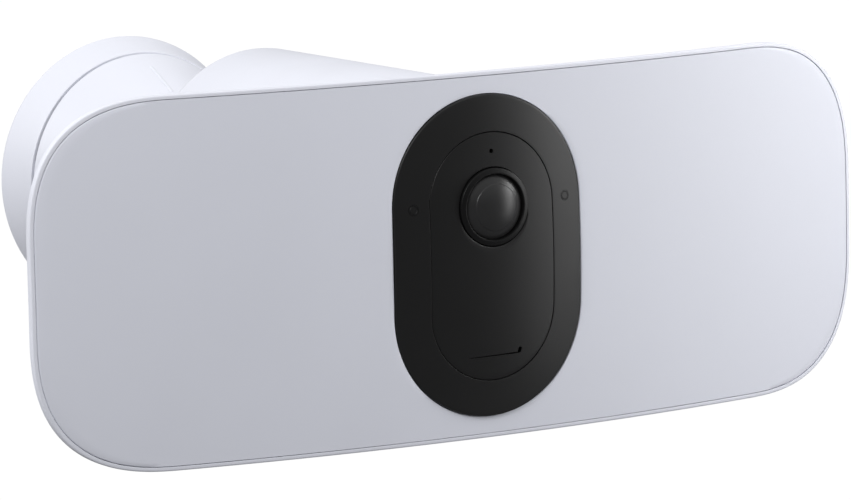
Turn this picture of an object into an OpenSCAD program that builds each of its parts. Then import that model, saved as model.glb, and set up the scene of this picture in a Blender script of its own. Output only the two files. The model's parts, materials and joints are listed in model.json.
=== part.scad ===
// Wall-mounted floodlight security camera: a wide bowed light panel with a camera in its middle,
// a round battery housing behind it, a swivel joint and a twist-lock wall mount.
// The origin is the centre of the wall face. The front looks along -Y and +Z is up.

/* [Light panel] */
// Overall width of the panel
panel_w = 354.2; // [340:0.1:370]
// Overall height of the panel
panel_h = 136; // [132:0.1:142]
// Radius of the soft corners
corner_r = 54.2; // [50:0.1:58]
// Squareness of the corners: 2 is a circle, more is squarer
corner_power = 2.64; // [2:0.01:3]
// Radius of the bow from left to right
bow_rx = 714; // [650:1:800]
// Radius of the bow from top to bottom
bow_rz = 1059; // [900:1:1200]
// Width of the rim around the light cover
rim_w = 1.6; // [1.2:0.1:2.2]
// Depth of the side wall before the back curves in
side_depth = 2.2; // [1.8:0.1:3]
// Radius of the curve from the side wall to the back
back_r = 48; // [44:1:54]
// Wall of the rear shell
shell_wall = 2.6; // [2.2:0.1:3]
// Thickness of the light cover
cover_t = 2; // [1.6:0.1:2.2]

/* [Camera] */
// Half width of the black bezel
bezel_half_w = 40; // [38:0.1:42]
// Half height of the black bezel
bezel_half_h = 59.7; // [56:0.1:61]
// How far the bezel's dome stands in front of the panel
bezel_rise = 4.5; // [3:0.1:5.5]
// Half width of the camera face inside the bezel
face_half_w = 26.3; // [25:0.1:28]
// Half height of the camera face inside the bezel
face_half_h = 45.9; // [44:0.1:47]
// Height of the lens above the panel's centre
lens_z = 18.5; // [17:0.1:20]
// Outer radius of the lens ring
lens_ring_r = 14.4; // [13.8:0.1:15]
// Radius of the glass dome
dome_r = 11.7; // [11:0.1:12]
// Height of the two side windows above the panel's centre
window_z = 19.7; // [18:0.1:21]
// Distance of the two side windows from the middle
window_x = 32.5; // [31.5:0.1:33.5]

/* [Battery housing] */
// Outer radius of the round housing
drum_r = 50.2; // [49:0.1:51]
// Wall of the housing
drum_wall = 2.6; // [2.2:0.1:3]
// How far the housing's axis lies above the panel's centre
drum_rise = 12.5; // [11:0.1:14]
// Where the panel's neck ends, behind the panel's front
neck_end = 38; // [37:0.1:40]
// Where the housing ends, behind the panel's front
drum_end = 172.5; // [168:0.1:178]

/* [Wall mount] */
// Distance from the wall to the panel's front
reach = 287; // [280:0.1:295]
// How far the panel's centre lies below the mount's axis
head_drop = 1.8; // [0:0.1:4]
// Radius of the mount at the wall
base_r = 56.5; // [55:0.1:58]
// Radius of the mount at its parting groove
groove_r = 50.6; // [50:0.1:51.5]
// Where the base ring ends and the parting groove starts
base_depth = 16.5; // [16:0.1:17.5]
// Width of the parting groove
groove_w = 1; // [0.6:0.1:1.4]
// Where the cap's cone ends
cap_depth = 61.5; // [60:0.1:62]
// Radius of the cap's front end
cap_tip_r = 28.3; // [27:0.1:30]

/* [Swivel] */
// Radius of the ball block
ball_r = 17.5; // [17:0.1:18]
// Distance from the swivel's centre to the ears
ear_gap = 15.3; // [15.2:0.1:15.6]
// Thickness of each ear
ear_t = 5; // [4:0.1:5]
// Radius of each ear
ear_r = 10; // [9:0.1:10.5]
// Distance from the swivel's centre to the fork's and the yoke's discs
ear_reach = 22.5; // [22:0.1:23]
// Radius of the tilt bolt and the pan pins
pin_r = 3; // [2.5:0.1:3.5]

/* [Hidden] */

// Colours
paint = "#e8ebf2";
cover_grey = "#c3c6cf";
black = "#1c1c1d";
steel = "#9a9da2";
alloy = "#b5b8bd";
board_green = "#2f5d46";
brass_yellow = "#c9a24a";
seal_black = "#26272a";
glass_dark = "#2a2f36";

// Gaps: sliding pieces, turning pins, and the thin seams between parts of one shell
slide_gap = 0.3;
pin_gap = 0.05;
seam_gap = 0.2;
cut = 0.1; // how far a cutting shape reaches past a face

// Segments: smooth circles, long shallow arcs, small details
fn_round = 96;
fn_arc = 360;
fn_small = 32;

// Light panel
rim_round = 0.8;
gasket_t = 0.8;
ledge_depth = cover_t + gasket_t;
turn_start = 38;
turn_end = 88;
outer_turn_steps = 7;
inner_turn_steps = 5;
corner_steps = 8;
edge_steps = 12;
cover_half_w = panel_w / 2 - rim_w;
cover_half_h = panel_h / 2 - rim_w;
cover_corner = corner_r - rim_w;
turn_inset = back_r * cos(turn_start);
turn_depth = side_depth - back_r * sin(turn_start);
inner_r = back_r - shell_wall;
inner_start = asin((ledge_depth - turn_depth) / inner_r);
inner_step = (turn_end - inner_start) / inner_turn_steps;
outer_step = (turn_end - turn_start) / outer_turn_steps;
half_points = 2 * (corner_steps + 1) + edge_steps - 1;
ring_count = 2 * half_points;

// Camera
bezel_rx = 160;
bezel_rz = 371;
bezel_back = 8.5;
plate_back = 3;
lens_ring_front = 4.9;
skirt_t = 2.4;
bezel_screw_x = 9;
bezel_screw_in = 5.5;
slit_z = -36.7;
slit_half = 10.5;
slit_end_r = 0.85;
mic_z = 39;

// Light boards, turned to follow the bow
board_x = 102;
board_w = 86;
board_h = 76;
board_t = 1.6;
spreader_t = 2.5;
board_depth = 6.5;
board_turn = asin(board_x / bow_rx);
led_size = 3.5;
led_rise = 0.8;
rib_pitch = 11;
heat_rib_t = 1.2;
heat_rib_rise = 2.4;
led_columns = 7;
led_rows = 6;
led_pitch = 12.5;
screw_seat = 17.6;
shell_screw_places = [
  for (x = [-149, 149], z = [-28, 28]) [x, z],
  for (x = [-66, 66], z = [-44, 44]) [x, z]
];

// Battery housing
neck_start = 9;
neck_bore = drum_r - 5.2;
spigot_r = drum_r - drum_wall - slide_gap - 0.4;
spigot_end = neck_end + 7;
housing_start = neck_end + 0.4;
housing_bore = drum_r - drum_wall;
cradle_r = neck_bore - 0.4;
cradle_wall = 2.2;
cradle_start = 33;
cradle_end = 158;
slot_half = 11;
floor_z = -30.5;
battery_half_w = 31;
battery_top = 24;
battery_start = 42;
battery_end = 146;

// Release button under the housing
button_y = 62;
button_w = 13.4;
button_l = 7.4;
button_rise = 0.7;
button_flange_z = -45;
guide_roof_z = -37;
guide_t = 1.5;
spring_r = 2.4;
spring_wire = 0.35;
spring_turns = 4;
spring_z0 = button_flange_z;
spring_z1 = guide_roof_z - guide_t;
wire_sides = 6;
coil_steps = 14;

// Charging inlet under the neck
port_y = 29;
port_w = 14;
port_l = 9;
port_rise = 3.2;
port_wall = 1.4;
port_depth = 8;
flap_t = 1.7;
port_face = drum_r + port_rise;
flap_hinge_y = port_y + port_l / 2 + 0.9;

// Sync button on the back
sync_x = 85.5;
sync_r = 4;
sync_face = 27.2;

// Wall mount
cap_start = base_depth + groove_w;
cap_wall = 2.8;
cone_slope = atan((groove_r - cap_tip_r) / (cap_depth - cap_start));
rib_start = 27;
rib_len = 16.5;
rib_r = 0.7;
rib_rise = 0.5;
spigot_back = 7.8;
bayonet_r = 47.4;
bayonet_lug_r = 49.5;
base_bore = 50;
bracket_r = 49.6;
bracket_t = 2;
slot_spacing = 79.4;
slot_len = 14.6;
slot_r = 2.4;
ring_holes_r = 30;
unlock_turn = 32;
gap_half_angle = 16;
lug_half_angle = 12;
ring_hole_r = 2.6;

// Swivel centre, as a distance from the wall
swivel_y = reach - drum_end - (ear_reach + 4);
disc_t = 4;
disc_r = 22;
washer_t = 0.95;
ball_flat = ear_gap - washer_t - 0.1;
screw_ring_r = 15.5;

// ---- Places -------------------------------------------------------------------------------------

// The panel's own frame: its front's highest point is the origin and y grows towards the wall.
module in_panel() { translate([0, -reach, -head_drop]) children(); }

// The same, with the housing's axis as the y axis.
module in_drum() { translate([0, -reach, drum_rise - head_drop]) children(); }

// The swivel's centre.
module in_swivel() { translate([0, -swivel_y, 0]) children(); }

// ---- Shapes -------------------------------------------------------------------------------------

// A disc or rod along y, from y0 to y1.
module rod_y(r, y0, y1, fn = fn_round) {
  translate([0, y1, 0]) rotate([90, 0, 0]) cylinder(r = r, h = y1 - y0, $fn = fn);
}

// A ring along y.
module ring_y(r_out, r_in, y0, y1, fn = fn_round) {
  difference() {
    rod_y(r_out, y0, y1, fn);
    rod_y(r_in, y0 - cut, y1 + cut, fn);
  }
}

// A flat shape, drawn in x and z, made solid from y0 to y1.
module prism_y(y0, y1) {
  translate([0, y1, 0]) rotate([90, 0, 0]) linear_extrude(y1 - y0) children();
}

// A box given by its x and z centre, its width and height, and its y range.
module box_y(x, z, w, h, y0, y1) {
  translate([x - w / 2, y0, z - h / 2]) cube([w, y1 - y0, h]);
}

// An upright pill.
module pill(half_w, half_h) {
  for (s = [-1, 1]) translate([0, s * (half_h - half_w)]) circle(r = half_w, $fn = fn_round);
  square([2 * half_w, 2 * (half_h - half_w)], center = true);
}

// A slot lying along x.
module slot(length, r) {
  for (s = [-1, 1]) translate([s * (length / 2 - r), 0]) circle(r = r, $fn = fn_small);
  square([length - 2 * r, 2 * r], center = true);
}

// A solid of revolution with a bowed front: radius rx about z, and an arc of radius rz up its side.
module barrel(rx, rz) {
  translate([0, rx, 0]) rotate_extrude($fn = fn_arc) intersection() {
    translate([rx - rz, 0]) circle(r = rz, $fn = fn_arc);
    translate([rx - 90, -100]) square([91, 200]);
  }
}

// A bowed sheet that follows the panel's front, between two depths.
module bowed_sheet(depth0, depth1) {
  difference() {
    translate([0, depth0, 0]) barrel(bow_rx, bow_rz);
    translate([0, depth1, 0]) barrel(bow_rx, bow_rz);
  }
}

// One quarter of the soft corner, from the side to the top.
function corner_arc(w, h, r) = [
  for (i = [0 : corner_steps])
    let (a = 90 * i / corner_steps)
      [w - r + r * pow(cos(a), 2 / corner_power), h - r + r * pow(sin(a), 2 / corner_power)]
];

// The upper half of the outline, from right to left, with points along the long edge.
function upper_half(w, h, r, steps) =
  let (q = corner_arc(w, h, r), run = w - r)
    concat(
      q,
      [for (i = [1 : 1 : steps - 1]) [run - 2 * run * i / steps, h]],
      [for (i = [corner_steps : -1 : 0]) [-q[i][0], q[i][1]]]
    );

function outline(w, h, r, steps) =
  let (top = upper_half(w, h, r, steps), n = len(top))
    concat(top, [for (i = [n - 1 : -1 : 0]) [top[i][0], -top[i][1]]]);

module panel_shape(inset) {
  polygon(outline(cover_half_w - inset, cover_half_h - inset, cover_corner - inset, 1));
}

// Depth of the bowed front at a point.
function bow(x, z) = bow_rx - sqrt(pow(bow_rx - bow_rz + sqrt(bow_rz * bow_rz - z * z), 2) - x * x);

// One ring of the rear shell: an outline moved in by an inset, at a depth behind the bow.
function shell_ring(inset, depth) = [
  for (p = outline(panel_w / 2 - inset, panel_h / 2 - inset, corner_r - inset, edge_steps))
    [p[0], bow(p[0], p[1]) + depth, p[1]]
];

// The rear shell's section, as pairs of inset and depth, from inside the back round the rim.
function turn(r, a) = [turn_inset - r * cos(a), turn_depth + r * sin(a)];
shell_section = concat(
  [for (i = [inner_turn_steps : -1 : 0]) turn(inner_r, inner_start + inner_step * i)],
  [[rim_w, ledge_depth], [rim_w, 0]],
  [for (a = [90, 45, 0]) [rim_round * (1 - cos(a)), rim_round * (1 - sin(a))]],
  [for (i = [0 : outer_turn_steps]) turn(back_r, turn_start + outer_step * i)]
);

// The closed skin through the rings, with a strip across each end.
module shell_skin() {
  rings = [for (s = shell_section) shell_ring(s[0], s[1])];
  last = len(rings) - 1;
  sides = [
    for (k = [0 : last - 1], i = [0 : ring_count - 1])
      let (j = (i + 1) % ring_count, a = k * ring_count, b = a + ring_count)
        each [[a + i, a + j, b + j], [a + i, b + j, b + i]]
  ];
  caps = [
    for (k = [0, last], i = [0 : half_points - 2])
      let (a = k * ring_count + i, b = k * ring_count + ring_count - 1 - i)
        each k == 0 ? [[a, b, a + 1], [a + 1, b, b - 1]] : [[a, a + 1, b], [a + 1, b - 1, b]]
  ];
  polyhedron(points = [for (r = rings) each r], faces = concat(sides, caps), convexity = 6);
}

// A pan-head screw along y, its head on the side away from the panel's front.
module screw_y(head_r, head_h, shank_r, length, recess_r) {
  difference() {
    union() {
      rod_y(head_r, -head_h, 0, fn_small);
      rod_y(shank_r, -head_h - length, -head_h + cut, fn_small);
    }
    rod_y(recess_r, -head_h * 0.6, cut, 6);
  }
}

// ---- Wall mount ---------------------------------------------------------------------------------

// The fixed ring against the wall, with three inward lugs of a twist lock.
module mount_base() color(paint) difference() {
  rotate([90, 0, 0]) rotate_extrude($fn = fn_round) polygon([
    [base_bore, 0], [base_r - 1, 0], [base_r, 0.8], [groove_r + 1.1, base_depth - 0.9],
    [groove_r + 0.3, base_depth], [bayonet_r + 0.5, base_depth], [bayonet_r + 0.5, base_depth - 4],
    [base_bore, base_depth - 4], [base_bore, 5], [40, 5], [40, bracket_t + 0.2], [base_bore, bracket_t + 0.2]
  ]);
  ring_y(55.2, 51.4, -2, cut);
  for (a = [0 : 120 : 359]) rotate([0, a - unlock_turn, 0]) twist_gap();
  for (a = [0 : 120 : 359]) rotate([0, a + 30, 0]) translate([44, 0, 0]) rod_y(1.6, -6, 0, fn_small);
  translate([0, -9.5, -60]) cylinder(r = 2.1, h = 12, $fn = fn_small);
}

// The gap that a lug enters through when the cap is turned to unlock it.
module twist_gap() {
  intersection() {
    ring_y(base_bore - 0.01, bayonet_r, -base_depth - cut, -base_depth + 4);
    linear_wedge(gap_half_angle, base_depth + 2);
  }
}

// A wedge about the x axis direction, reaching the given depth.
module linear_wedge(half_angle, depth) {
  rotate([90, 0, 0]) linear_extrude(depth) polygon([
    [0, 0], [70 * cos(half_angle), -70 * sin(half_angle)], [70 * cos(half_angle), 70 * sin(half_angle)]
  ]);
}

// The steel plate that is fixed to the wall or to a junction box.
module wall_bracket() color(steel) difference() {
  rod_y(bracket_r, -bracket_t, 0);
  for (s = [-1, 1]) translate([s * slot_spacing / 2, 0, 0])
    prism_y(-bracket_t - cut, cut) slot(slot_len, slot_r);
  for (a = [45 : 90 : 359]) rotate([0, a, 0]) translate([ring_holes_r, 0, 0])
    rod_y(ring_hole_r, -5, 1, fn_small);
  for (a = [0 : 120 : 359]) rotate([0, a + 30, 0]) translate([44, 0, 0]) rod_y(1.6, -6, 1, fn_small);
}

// The foam ring that keeps water out behind the base.
module wall_gasket() color(seal_black) ring_y(55.1, 51.5, -1.9, 0);

// Three screws that hold the base ring to the bracket.
module bracket_screws() color(steel) for (a = [0 : 120 : 359]) rotate([0, a + 30, 0]) translate([44, -6.6, 0])
  mirror([0, 1, 0]) screw_y(2.8, 1.6, 1.55, 4.6, 1.2);

// The set screw under the base ring, backed off clear of the cap.
module security_screw() color(steel) translate([0, -9.5, -54.6]) difference() {
  cylinder(r = 2, h = 4, $fn = fn_small);
  translate([0, 0, -cut]) cylinder(r = 1.1, h = 2, $fn = 6);
}

// The cone that carries the arm, with a rib that marks its top and three lugs on its spigot.
module mount_cap() color(paint) difference() {
  union() {
    rotate([90, 0, 0]) rotate_extrude($fn = fn_round) polygon([
      [bayonet_r - 2.4, spigot_back], [bayonet_r, spigot_back], [bayonet_r, cap_start],
      [groove_r - 0.6, cap_start], [groove_r, cap_start + 0.6], [cap_tip_r + 1, cap_depth - 2],
      [cap_tip_r - 1, cap_depth], [0, cap_depth], [0, cap_depth - 3], [cap_tip_r - cap_wall, cap_depth - 3],
      [bayonet_r - 2.4, cap_start + 3]
    ]);
    for (a = [0 : 120 : 359]) rotate([0, a, 0]) intersection() {
      ring_y(bayonet_lug_r, bayonet_r - 1, -11.9, -8.2);
      linear_wedge(lug_half_angle, 20);
    }
    cap_rib();
  }
  fork_screw_places(-cap_depth - 1) rod_y(2.1, 0, 6, fn_small);
  on_cone(rib_start + rib_len + 2.2) translate([0, 0, -1]) cylinder(r = 0.6, h = 3, $fn = fn_small);
}

// A place on the top of the cone, at a distance from the wall, with z square to the cone.
module on_cone(y) {
  translate([0, -y, groove_r - (y - cap_start) * tan(cone_slope)]) rotate([cone_slope, 0, 0]) children();
}

// The slim rib along the top of the cone.
module cap_rib() on_cone(rib_start) translate([0, 0, -0.8]) {
  translate([-rib_r, -rib_len, 0]) cube([2 * rib_r, rib_len, rib_rise + 0.8]);
  for (y = [0, -rib_len]) translate([0, y, 0]) cylinder(r = rib_r, h = rib_rise + 0.8, $fn = fn_small);
}

module fork_screw_places(y) {
  for (a = [45 : 90 : 359]) rotate([0, a, 0]) translate([screw_ring_r, y, 0]) children();
}

// One disc with two ears, in the swivel's frame: the disc lies at +y and the ears point to -y.
module clevis() {
  difference() {
    union() {
      rod_y(disc_r, ear_reach, ear_reach + disc_t);
      for (s = [-1, 1]) translate([s * (ear_gap + ear_t / 2), 0, 0]) rotate([0, 90, 0]) {
        cylinder(r = ear_r, h = ear_t, center = true, $fn = fn_round);
        translate([-ear_r, 0, -ear_t / 2]) cube([2 * ear_r, ear_reach + 1, ear_t]);
      }
    }
    rotate([0, 90, 0]) cylinder(r = pin_r + pin_gap, h = 60, center = true, $fn = fn_round);
  }
}

// The fork that holds the tilt bolt, screwed to the cone's end.
module tilt_fork() color(alloy) difference() {
  in_swivel() clevis();
  fork_screw_places(-cap_depth - disc_t - 1) rod_y(1.5, 0, 6, fn_small);
}

module fork_screws() color(steel) fork_screw_places(-cap_depth + 3 + 2.4) screw_y(3, 2.4, 1.5, 6, 1.3);

// ---- Swivel -------------------------------------------------------------------------------------

// The ball block between the fork and the yoke.
module swivel_ball() color(paint) in_swivel() difference() {
  intersection() {
    sphere(r = ball_r, $fn = fn_round);
    cube([2 * ball_flat, 60, 2 * ball_flat], center = true);
  }
  rotate([0, 90, 0]) cylinder(r = pin_r, h = 60, center = true, $fn = fn_round);
  for (s = [-1, 1]) translate([0, 0, s * 15.2]) cylinder(r = pin_r, h = 22, center = true, $fn = fn_round);
}

module tilt_bolt() color(steel) in_swivel() rotate([0, 90, 0]) difference() {
  union() {
    translate([0, 0, -26.2]) cylinder(r = pin_r, h = 52, $fn = fn_round);
    translate([0, 0, -26.2]) cylinder(r = 5.5, h = 5.6, $fn = fn_round);
  }
  translate([0, 0, -27]) cylinder(r = 2.3, h = 4, $fn = 6);
}

module tilt_nut() color(steel) in_swivel() rotate([0, 90, 0])
  translate([0, 0, ear_gap + ear_t + 0.3]) difference() {
    cylinder(r = 5.6, h = 4.4, $fn = 6);
    translate([0, 0, -cut]) cylinder(r = pin_r, h = 5, $fn = fn_round);
  }

module pan_pins() color(steel) in_swivel() for (s = [0, 180]) rotate([s, 0, 0]) difference() {
  union() {
    translate([0, 0, 4.2]) cylinder(r = pin_r, h = 17, $fn = fn_round);
    translate([0, 0, ear_gap + ear_t + 0.3]) cylinder(r = 5, h = 3, $fn = fn_round);
  }
  translate([0, 0, ear_gap + ear_t + 1.8]) cylinder(r = 2, h = 4, $fn = 6);
}

// A pair of friction washers along z, one on each side.
module washer_pair() {
  for (s = [-1, 1]) translate([0, 0, s * (ball_flat + washer_t / 2)]) difference() {
    cylinder(r = 8, h = washer_t, center = true, $fn = fn_round);
    cylinder(r = pin_r + pin_gap, h = 3, center = true, $fn = fn_round);
  }
}

module tilt_washers() color(brass_yellow) in_swivel() rotate([0, 90, 0]) washer_pair();
module pan_washers() color(brass_yellow) in_swivel() washer_pair();

// ---- Battery housing ----------------------------------------------------------------------------

// The round housing: a tube closed at the wall's end, with a hole for the release button.
module battery_housing() color(paint) in_drum() difference() {
  rotate([-90, 0, 0]) rotate_extrude($fn = fn_round) difference() {
    union() {
      translate([0, housing_start]) square([drum_r, drum_end - housing_start - 1.5]);
      rounded_end();
    }
    translate([-1, housing_start - cut]) square([housing_bore + 1, drum_end - 2.5 - housing_start + cut]);
  }
  translate([0, button_y, -drum_r - 1]) linear_extrude(8)
    slot(button_w + 2 * slide_gap, button_l / 2 + slide_gap);
  translate([0, 0, head_drop - drum_rise]) yoke_screw_places(drum_end - 6) rod_y(2.1, 0, 8, fn_small);
}

// The last stretch of the housing's section, with its rounded edge.
module rounded_end() {
  translate([0, drum_end - 1.6]) square([drum_r - 1.5, 1.6]);
  translate([drum_r - 1.5, drum_end - 1.5]) circle(r = 1.5, $fn = fn_small);
}

module yoke_screw_places(y) {
  for (a = [0 : 90 : 359]) rotate([0, a, 0]) translate([screw_ring_r, y, 0]) children();
}

// The yoke on the housing's back that holds the pan pins.
module pan_yoke() color(alloy) in_swivel() difference() {
  rotate([0, 0, 180]) rotate([0, 90, 0]) clevis();
  yoke_screw_places(-ear_reach - 5) rod_y(1.5, 0, 6, fn_small);
}

module yoke_screws() color(steel) in_swivel() yoke_screw_places(-ear_reach - disc_t - 2.5 - 2.4)
  mirror([0, 1, 0]) screw_y(3, 2.4, 1.5, 5.5, 1.3);

// The bridge inside the housing that guides the release button and carries its spring.
module button_guide() color(black) in_drum() intersection() {
  rod_y(housing_bore - 0.05, button_y - 8, button_y + 8);
  translate([-slot_half + 0.9, button_y - 7, -50]) difference() {
    cube([2 * slot_half - 1.8, 14, 50 + guide_roof_z]);
    translate([1.2, -1, -1]) cube([2 * slot_half - 4.2, 16, 51 + guide_roof_z - guide_t]);
  }
}

// The spring between the release button and the guide: a round wire wound along z.
function coil_point(i, j) =
  let (
    a = 360 * i / coil_steps,
    b = 360 * j / wire_sides,
    r = spring_r + spring_wire * cos(b),
    rise = (spring_z1 - spring_z0 - 2 * spring_wire) * i / (coil_steps * spring_turns)
  )
    [r * cos(a), r * sin(a), spring_z0 + spring_wire + rise + spring_wire * sin(b)];

module release_spring() color(steel) in_drum() translate([0, button_y, 0]) {
  last = coil_steps * spring_turns;
  polyhedron(
    points = [for (i = [0 : last], j = [0 : wire_sides - 1]) coil_point(i, j)],
    faces = concat(
      [for (i = [0 : last - 1], j = [0 : wire_sides - 1])
        let (k = (j + 1) % wire_sides, a = i * wire_sides, b = a + wire_sides)
          each [[a + j, a + k, b + k], [a + j, b + k, b + j]]],
      [[for (j = [wire_sides - 1 : -1 : 0]) j], [for (j = [0 : wire_sides - 1]) last * wire_sides + j]]
    ),
    convexity = 10
  );
}

// The release button: a capsule that stands a little proud, with a flange that keeps it in.
module release_button() color(paint) in_drum() translate([0, button_y, 0]) {
  difference() {
    translate([0, 0, -drum_r - button_rise]) linear_extrude(drum_r + button_rise + button_flange_z - 1.2)
      slot(button_w, button_l / 2);
    for (x = [-4 : 2 : 4]) translate([x - 0.3, -2.4, -drum_r - 1]) cube([0.6, 4.8, 0.7]);
  }
  translate([0, 0, button_flange_z - 1.3]) linear_extrude(1.3) slot(button_w + 2.6, button_l / 2 + 1.3);
}

// ---- Light panel --------------------------------------------------------------------------------

// The back of the light panel with the round neck that the housing slides onto.
module rear_shell() color(paint) in_panel() difference() {
  union() {
    shell_skin();
    translate([0, 0, drum_rise]) {
      rod_y(drum_r, neck_start, neck_end);
      rod_y(spigot_r, neck_end - 1, spigot_end);
    }
    translate([sync_x, 0, 0]) rod_y(7.5, 20, sync_face - 1, fn_small);
  }
  translate([0, 0, drum_rise]) {
    rod_y(neck_bore, neck_start - 5, spigot_end + cut);
    ring_y(spigot_r + 1, spigot_r - 1, neck_end + 3, neck_end + 5);
    port_cut();
  }
  translate([sync_x, 0, 0]) rod_y(sync_r + slide_gap, 15, 30, fn_small);
  for (p = shell_screw_places) translate([p[0], bow(p[0], p[1]), p[1]]) {
    rod_y(1.8, 10, 30, fn_small);
    rod_y(3.6, screw_seat, 30, fn_small);
  }
}

// The opening for the charging inlet in the neck's underside.
module port_cut() {
  box_y(0, -44, port_w + 0.4, 14, port_y - port_l / 2 - 0.2, port_y + port_l / 2 + 0.2);
}

// The charging inlet: a raised socket, open downwards.
module charge_port() color(black) in_drum() difference() {
  rounded_box(port_w, port_l, 1.5, -port_face, -42);
  rounded_box(port_w - 2 * port_wall, port_l - 2 * port_wall, 0.6, -port_face - cut, port_depth - port_face);
}

// An upright box at the port's place, with round corners seen from below.
module rounded_box(w, l, r, z0, z1) {
  translate([0, port_y, z0]) linear_extrude(z1 - z0) {
    for (s = [-1, 1], t = [-1, 1]) translate([s * (w / 2 - r), t * (l / 2 - r)])
      circle(r = r, $fn = fn_small);
    square([w, l - 2 * r], center = true);
    square([w - 2 * r, l], center = true);
  }
}

// The rubber cap of the charging inlet, with a hinge roll along its edge towards the housing.
module port_cover() color(seal_black) in_drum() {
  translate([0, 0, -0.1]) rounded_box(port_w, port_l, 1.5, -port_face - flap_t, -port_face);
  translate([-5, flap_hinge_y, -port_face - flap_t / 2 - 0.1]) rotate([0, 90, 0])
    cylinder(r = flap_t / 2, h = 10, $fn = fn_small);
  translate([-5, flap_hinge_y - 1.2, -port_face - flap_t - 0.1]) cube([10, 1.2, flap_t]);
}

module port_pins() color(brass_yellow) in_drum() for (x = [-2.5, 2.5])
  translate([x, port_y, port_depth - port_face - 1.4]) cylinder(r = 0.8, h = 1.4, $fn = fn_small);

// The bowed cover that the light shines through, with posts for the shell's screws.
module light_cover() color(cover_grey) in_panel() {
  difference() {
    intersection() {
      prism_y(-1, 40) panel_shape(seam_gap);
      bowed_sheet(0, cover_t);
    }
    prism_y(-5, 20) pill(bezel_half_w + seam_gap, bezel_half_h + seam_gap);
  }
  for (p = shell_screw_places) translate([p[0], bow(p[0], p[1]), p[1]]) difference() {
    rod_y(4, cover_t - 0.7, screw_seat - 4, fn_small);
    rod_y(1.5, cover_t + 3, screw_seat, fn_small);
  }
}

// The seal between the light cover and the shell's ledge.
module cover_gasket() color(seal_black) in_panel() intersection() {
  prism_y(-1, 40) difference() {
    panel_shape(seam_gap);
    panel_shape(2.6);
  }
  bowed_sheet(cover_t + 0.05, ledge_depth - 0.1);
}

module shell_screws() color(steel) in_panel() for (p = shell_screw_places)
  translate([p[0], bow(p[0], p[1]) + screw_seat + 1.3, p[1]]) screw_y(3.2, 1.3, 1.5, 11, 1.4);

// A place on one side of the panel that lies flat behind the bowed cover. side is -1 or 1.
module on_board(side) {
  translate([side * board_x, bow(board_x, 0) + board_depth, 0]) rotate([0, 0, side * board_turn]) children();
}

module led_board(side) color(board_green) in_panel() on_board(side)
  box_y(0, 0, board_w, board_h, 0, board_t);

module leds(side) color("#f4e9a8") in_panel() on_board(side)
  for (i = [0 : led_columns - 1], j = [0 : led_rows - 1]) {
    x = (i - (led_columns - 1) / 2) * led_pitch;
    z = (j - (led_rows - 1) / 2) * led_pitch;
    box_y(x, z, led_size, led_size, -led_rise, 0);
  }

// The aluminium plate that carries the light board, with ribs on its back.
module heat_spreader(side) color(alloy) in_panel() on_board(side) {
  box_y(0, 0, board_w, board_h, board_t, board_t + spreader_t);
  rib_back = board_t + spreader_t + heat_rib_rise;
  for (i = [-3 : 3]) box_y(i * rib_pitch, 0, heat_rib_t, board_h - 24, board_t + spreader_t - cut, rib_back);
}

module led_board_left() led_board(-1);
module led_board_right() led_board(1);
module leds_left() leds(-1);
module leds_right() leds(1);
module heat_spreader_left() heat_spreader(-1);
module heat_spreader_right() heat_spreader(1);

// ---- Camera -------------------------------------------------------------------------------------

// A pill of the camera's front, cut to its domed surface.
module domed_pill(half_w, half_h, y1) {
  intersection() {
    prism_y(-10, y1) pill(half_w, half_h);
    translate([0, -bezel_rise, 0]) barrel(bezel_rx, bezel_rz);
  }
}

// The wide black frame around the camera's face, hollow behind.
module camera_bezel() color(black) in_panel() difference() {
  domed_pill(bezel_half_w, bezel_half_h, bezel_back);
  prism_y(-12, bezel_back + 1) pill(face_half_w + seam_gap, face_half_h + seam_gap);
  prism_y(plate_back, bezel_back + cut) difference() {
    pill(bezel_half_w - skirt_t, bezel_half_h - skirt_t);
    pill(face_half_w + skirt_t, face_half_h + skirt_t);
    for (s = [-1, 1], t = [-1, 1]) translate([s * bezel_screw_x, t * (bezel_half_h - bezel_screw_in)])
      circle(r = 2.6, $fn = fn_small);
  }
  for (s = [-1, 1]) translate([s * window_x, 0, window_z]) rod_y(2.05, -10, 10, fn_small);
  bezel_screw_places() rod_y(1, -4, 1, fn_small);
}

// The four places behind the bezel where its screws go in, at the back face.
module bezel_screw_places() {
  for (s = [-1, 1], t = [-1, 1])
    translate([s * bezel_screw_x, bezel_back, t * (bezel_half_h - bezel_screw_in)]) children();
}

// The camera's face: holes for the lens and the microphone, and a thin sound slit.
module camera_face() color(black) in_panel() difference() {
  domed_pill(face_half_w - seam_gap, face_half_h - seam_gap, bezel_back);
  prism_y(plate_back, bezel_back + cut) pill(face_half_w - skirt_t, face_half_h - skirt_t);
  translate([0, 0, lens_z]) rod_y(lens_ring_r + 0.35, -10, 10);
  translate([0, 0, mic_z]) rod_y(0.9, -10, 10, fn_small);
  prism_y(-10, plate_back - 1) {
    polygon([
      [-slit_half, slit_z - 0.25], [slit_half, slit_z - 0.15],
      [slit_half, slit_z + 0.5], [-slit_half, slit_z + 0.1]
    ]);
    hull() for (p = [[-0.3, 0.7], [0.3, 1.5]])
      translate([slit_half + p[0], slit_z + p[1]]) circle(r = slit_end_r, $fn = fn_small);
  }
}

// The stepped ring that holds the glass dome.
module lens_ring() color("#101012") in_panel() translate([0, 0, lens_z]) difference() {
  rod_y(lens_ring_r, -lens_ring_front, bezel_back);
  rod_y(dome_r + 0.1, -6, -3);
  rod_y(10.2, -4, bezel_back + cut);
}

// The glass dome: a thin cap of a sphere.
module lens_dome() color(glass_dark) in_panel() translate([0, -7.4 + 20, lens_z]) intersection() {
  difference() {
    sphere(r = 20, $fn = 160);
    sphere(r = 18.8, $fn = 160);
  }
  rod_y(dome_r, -30, -16);
}

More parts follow.
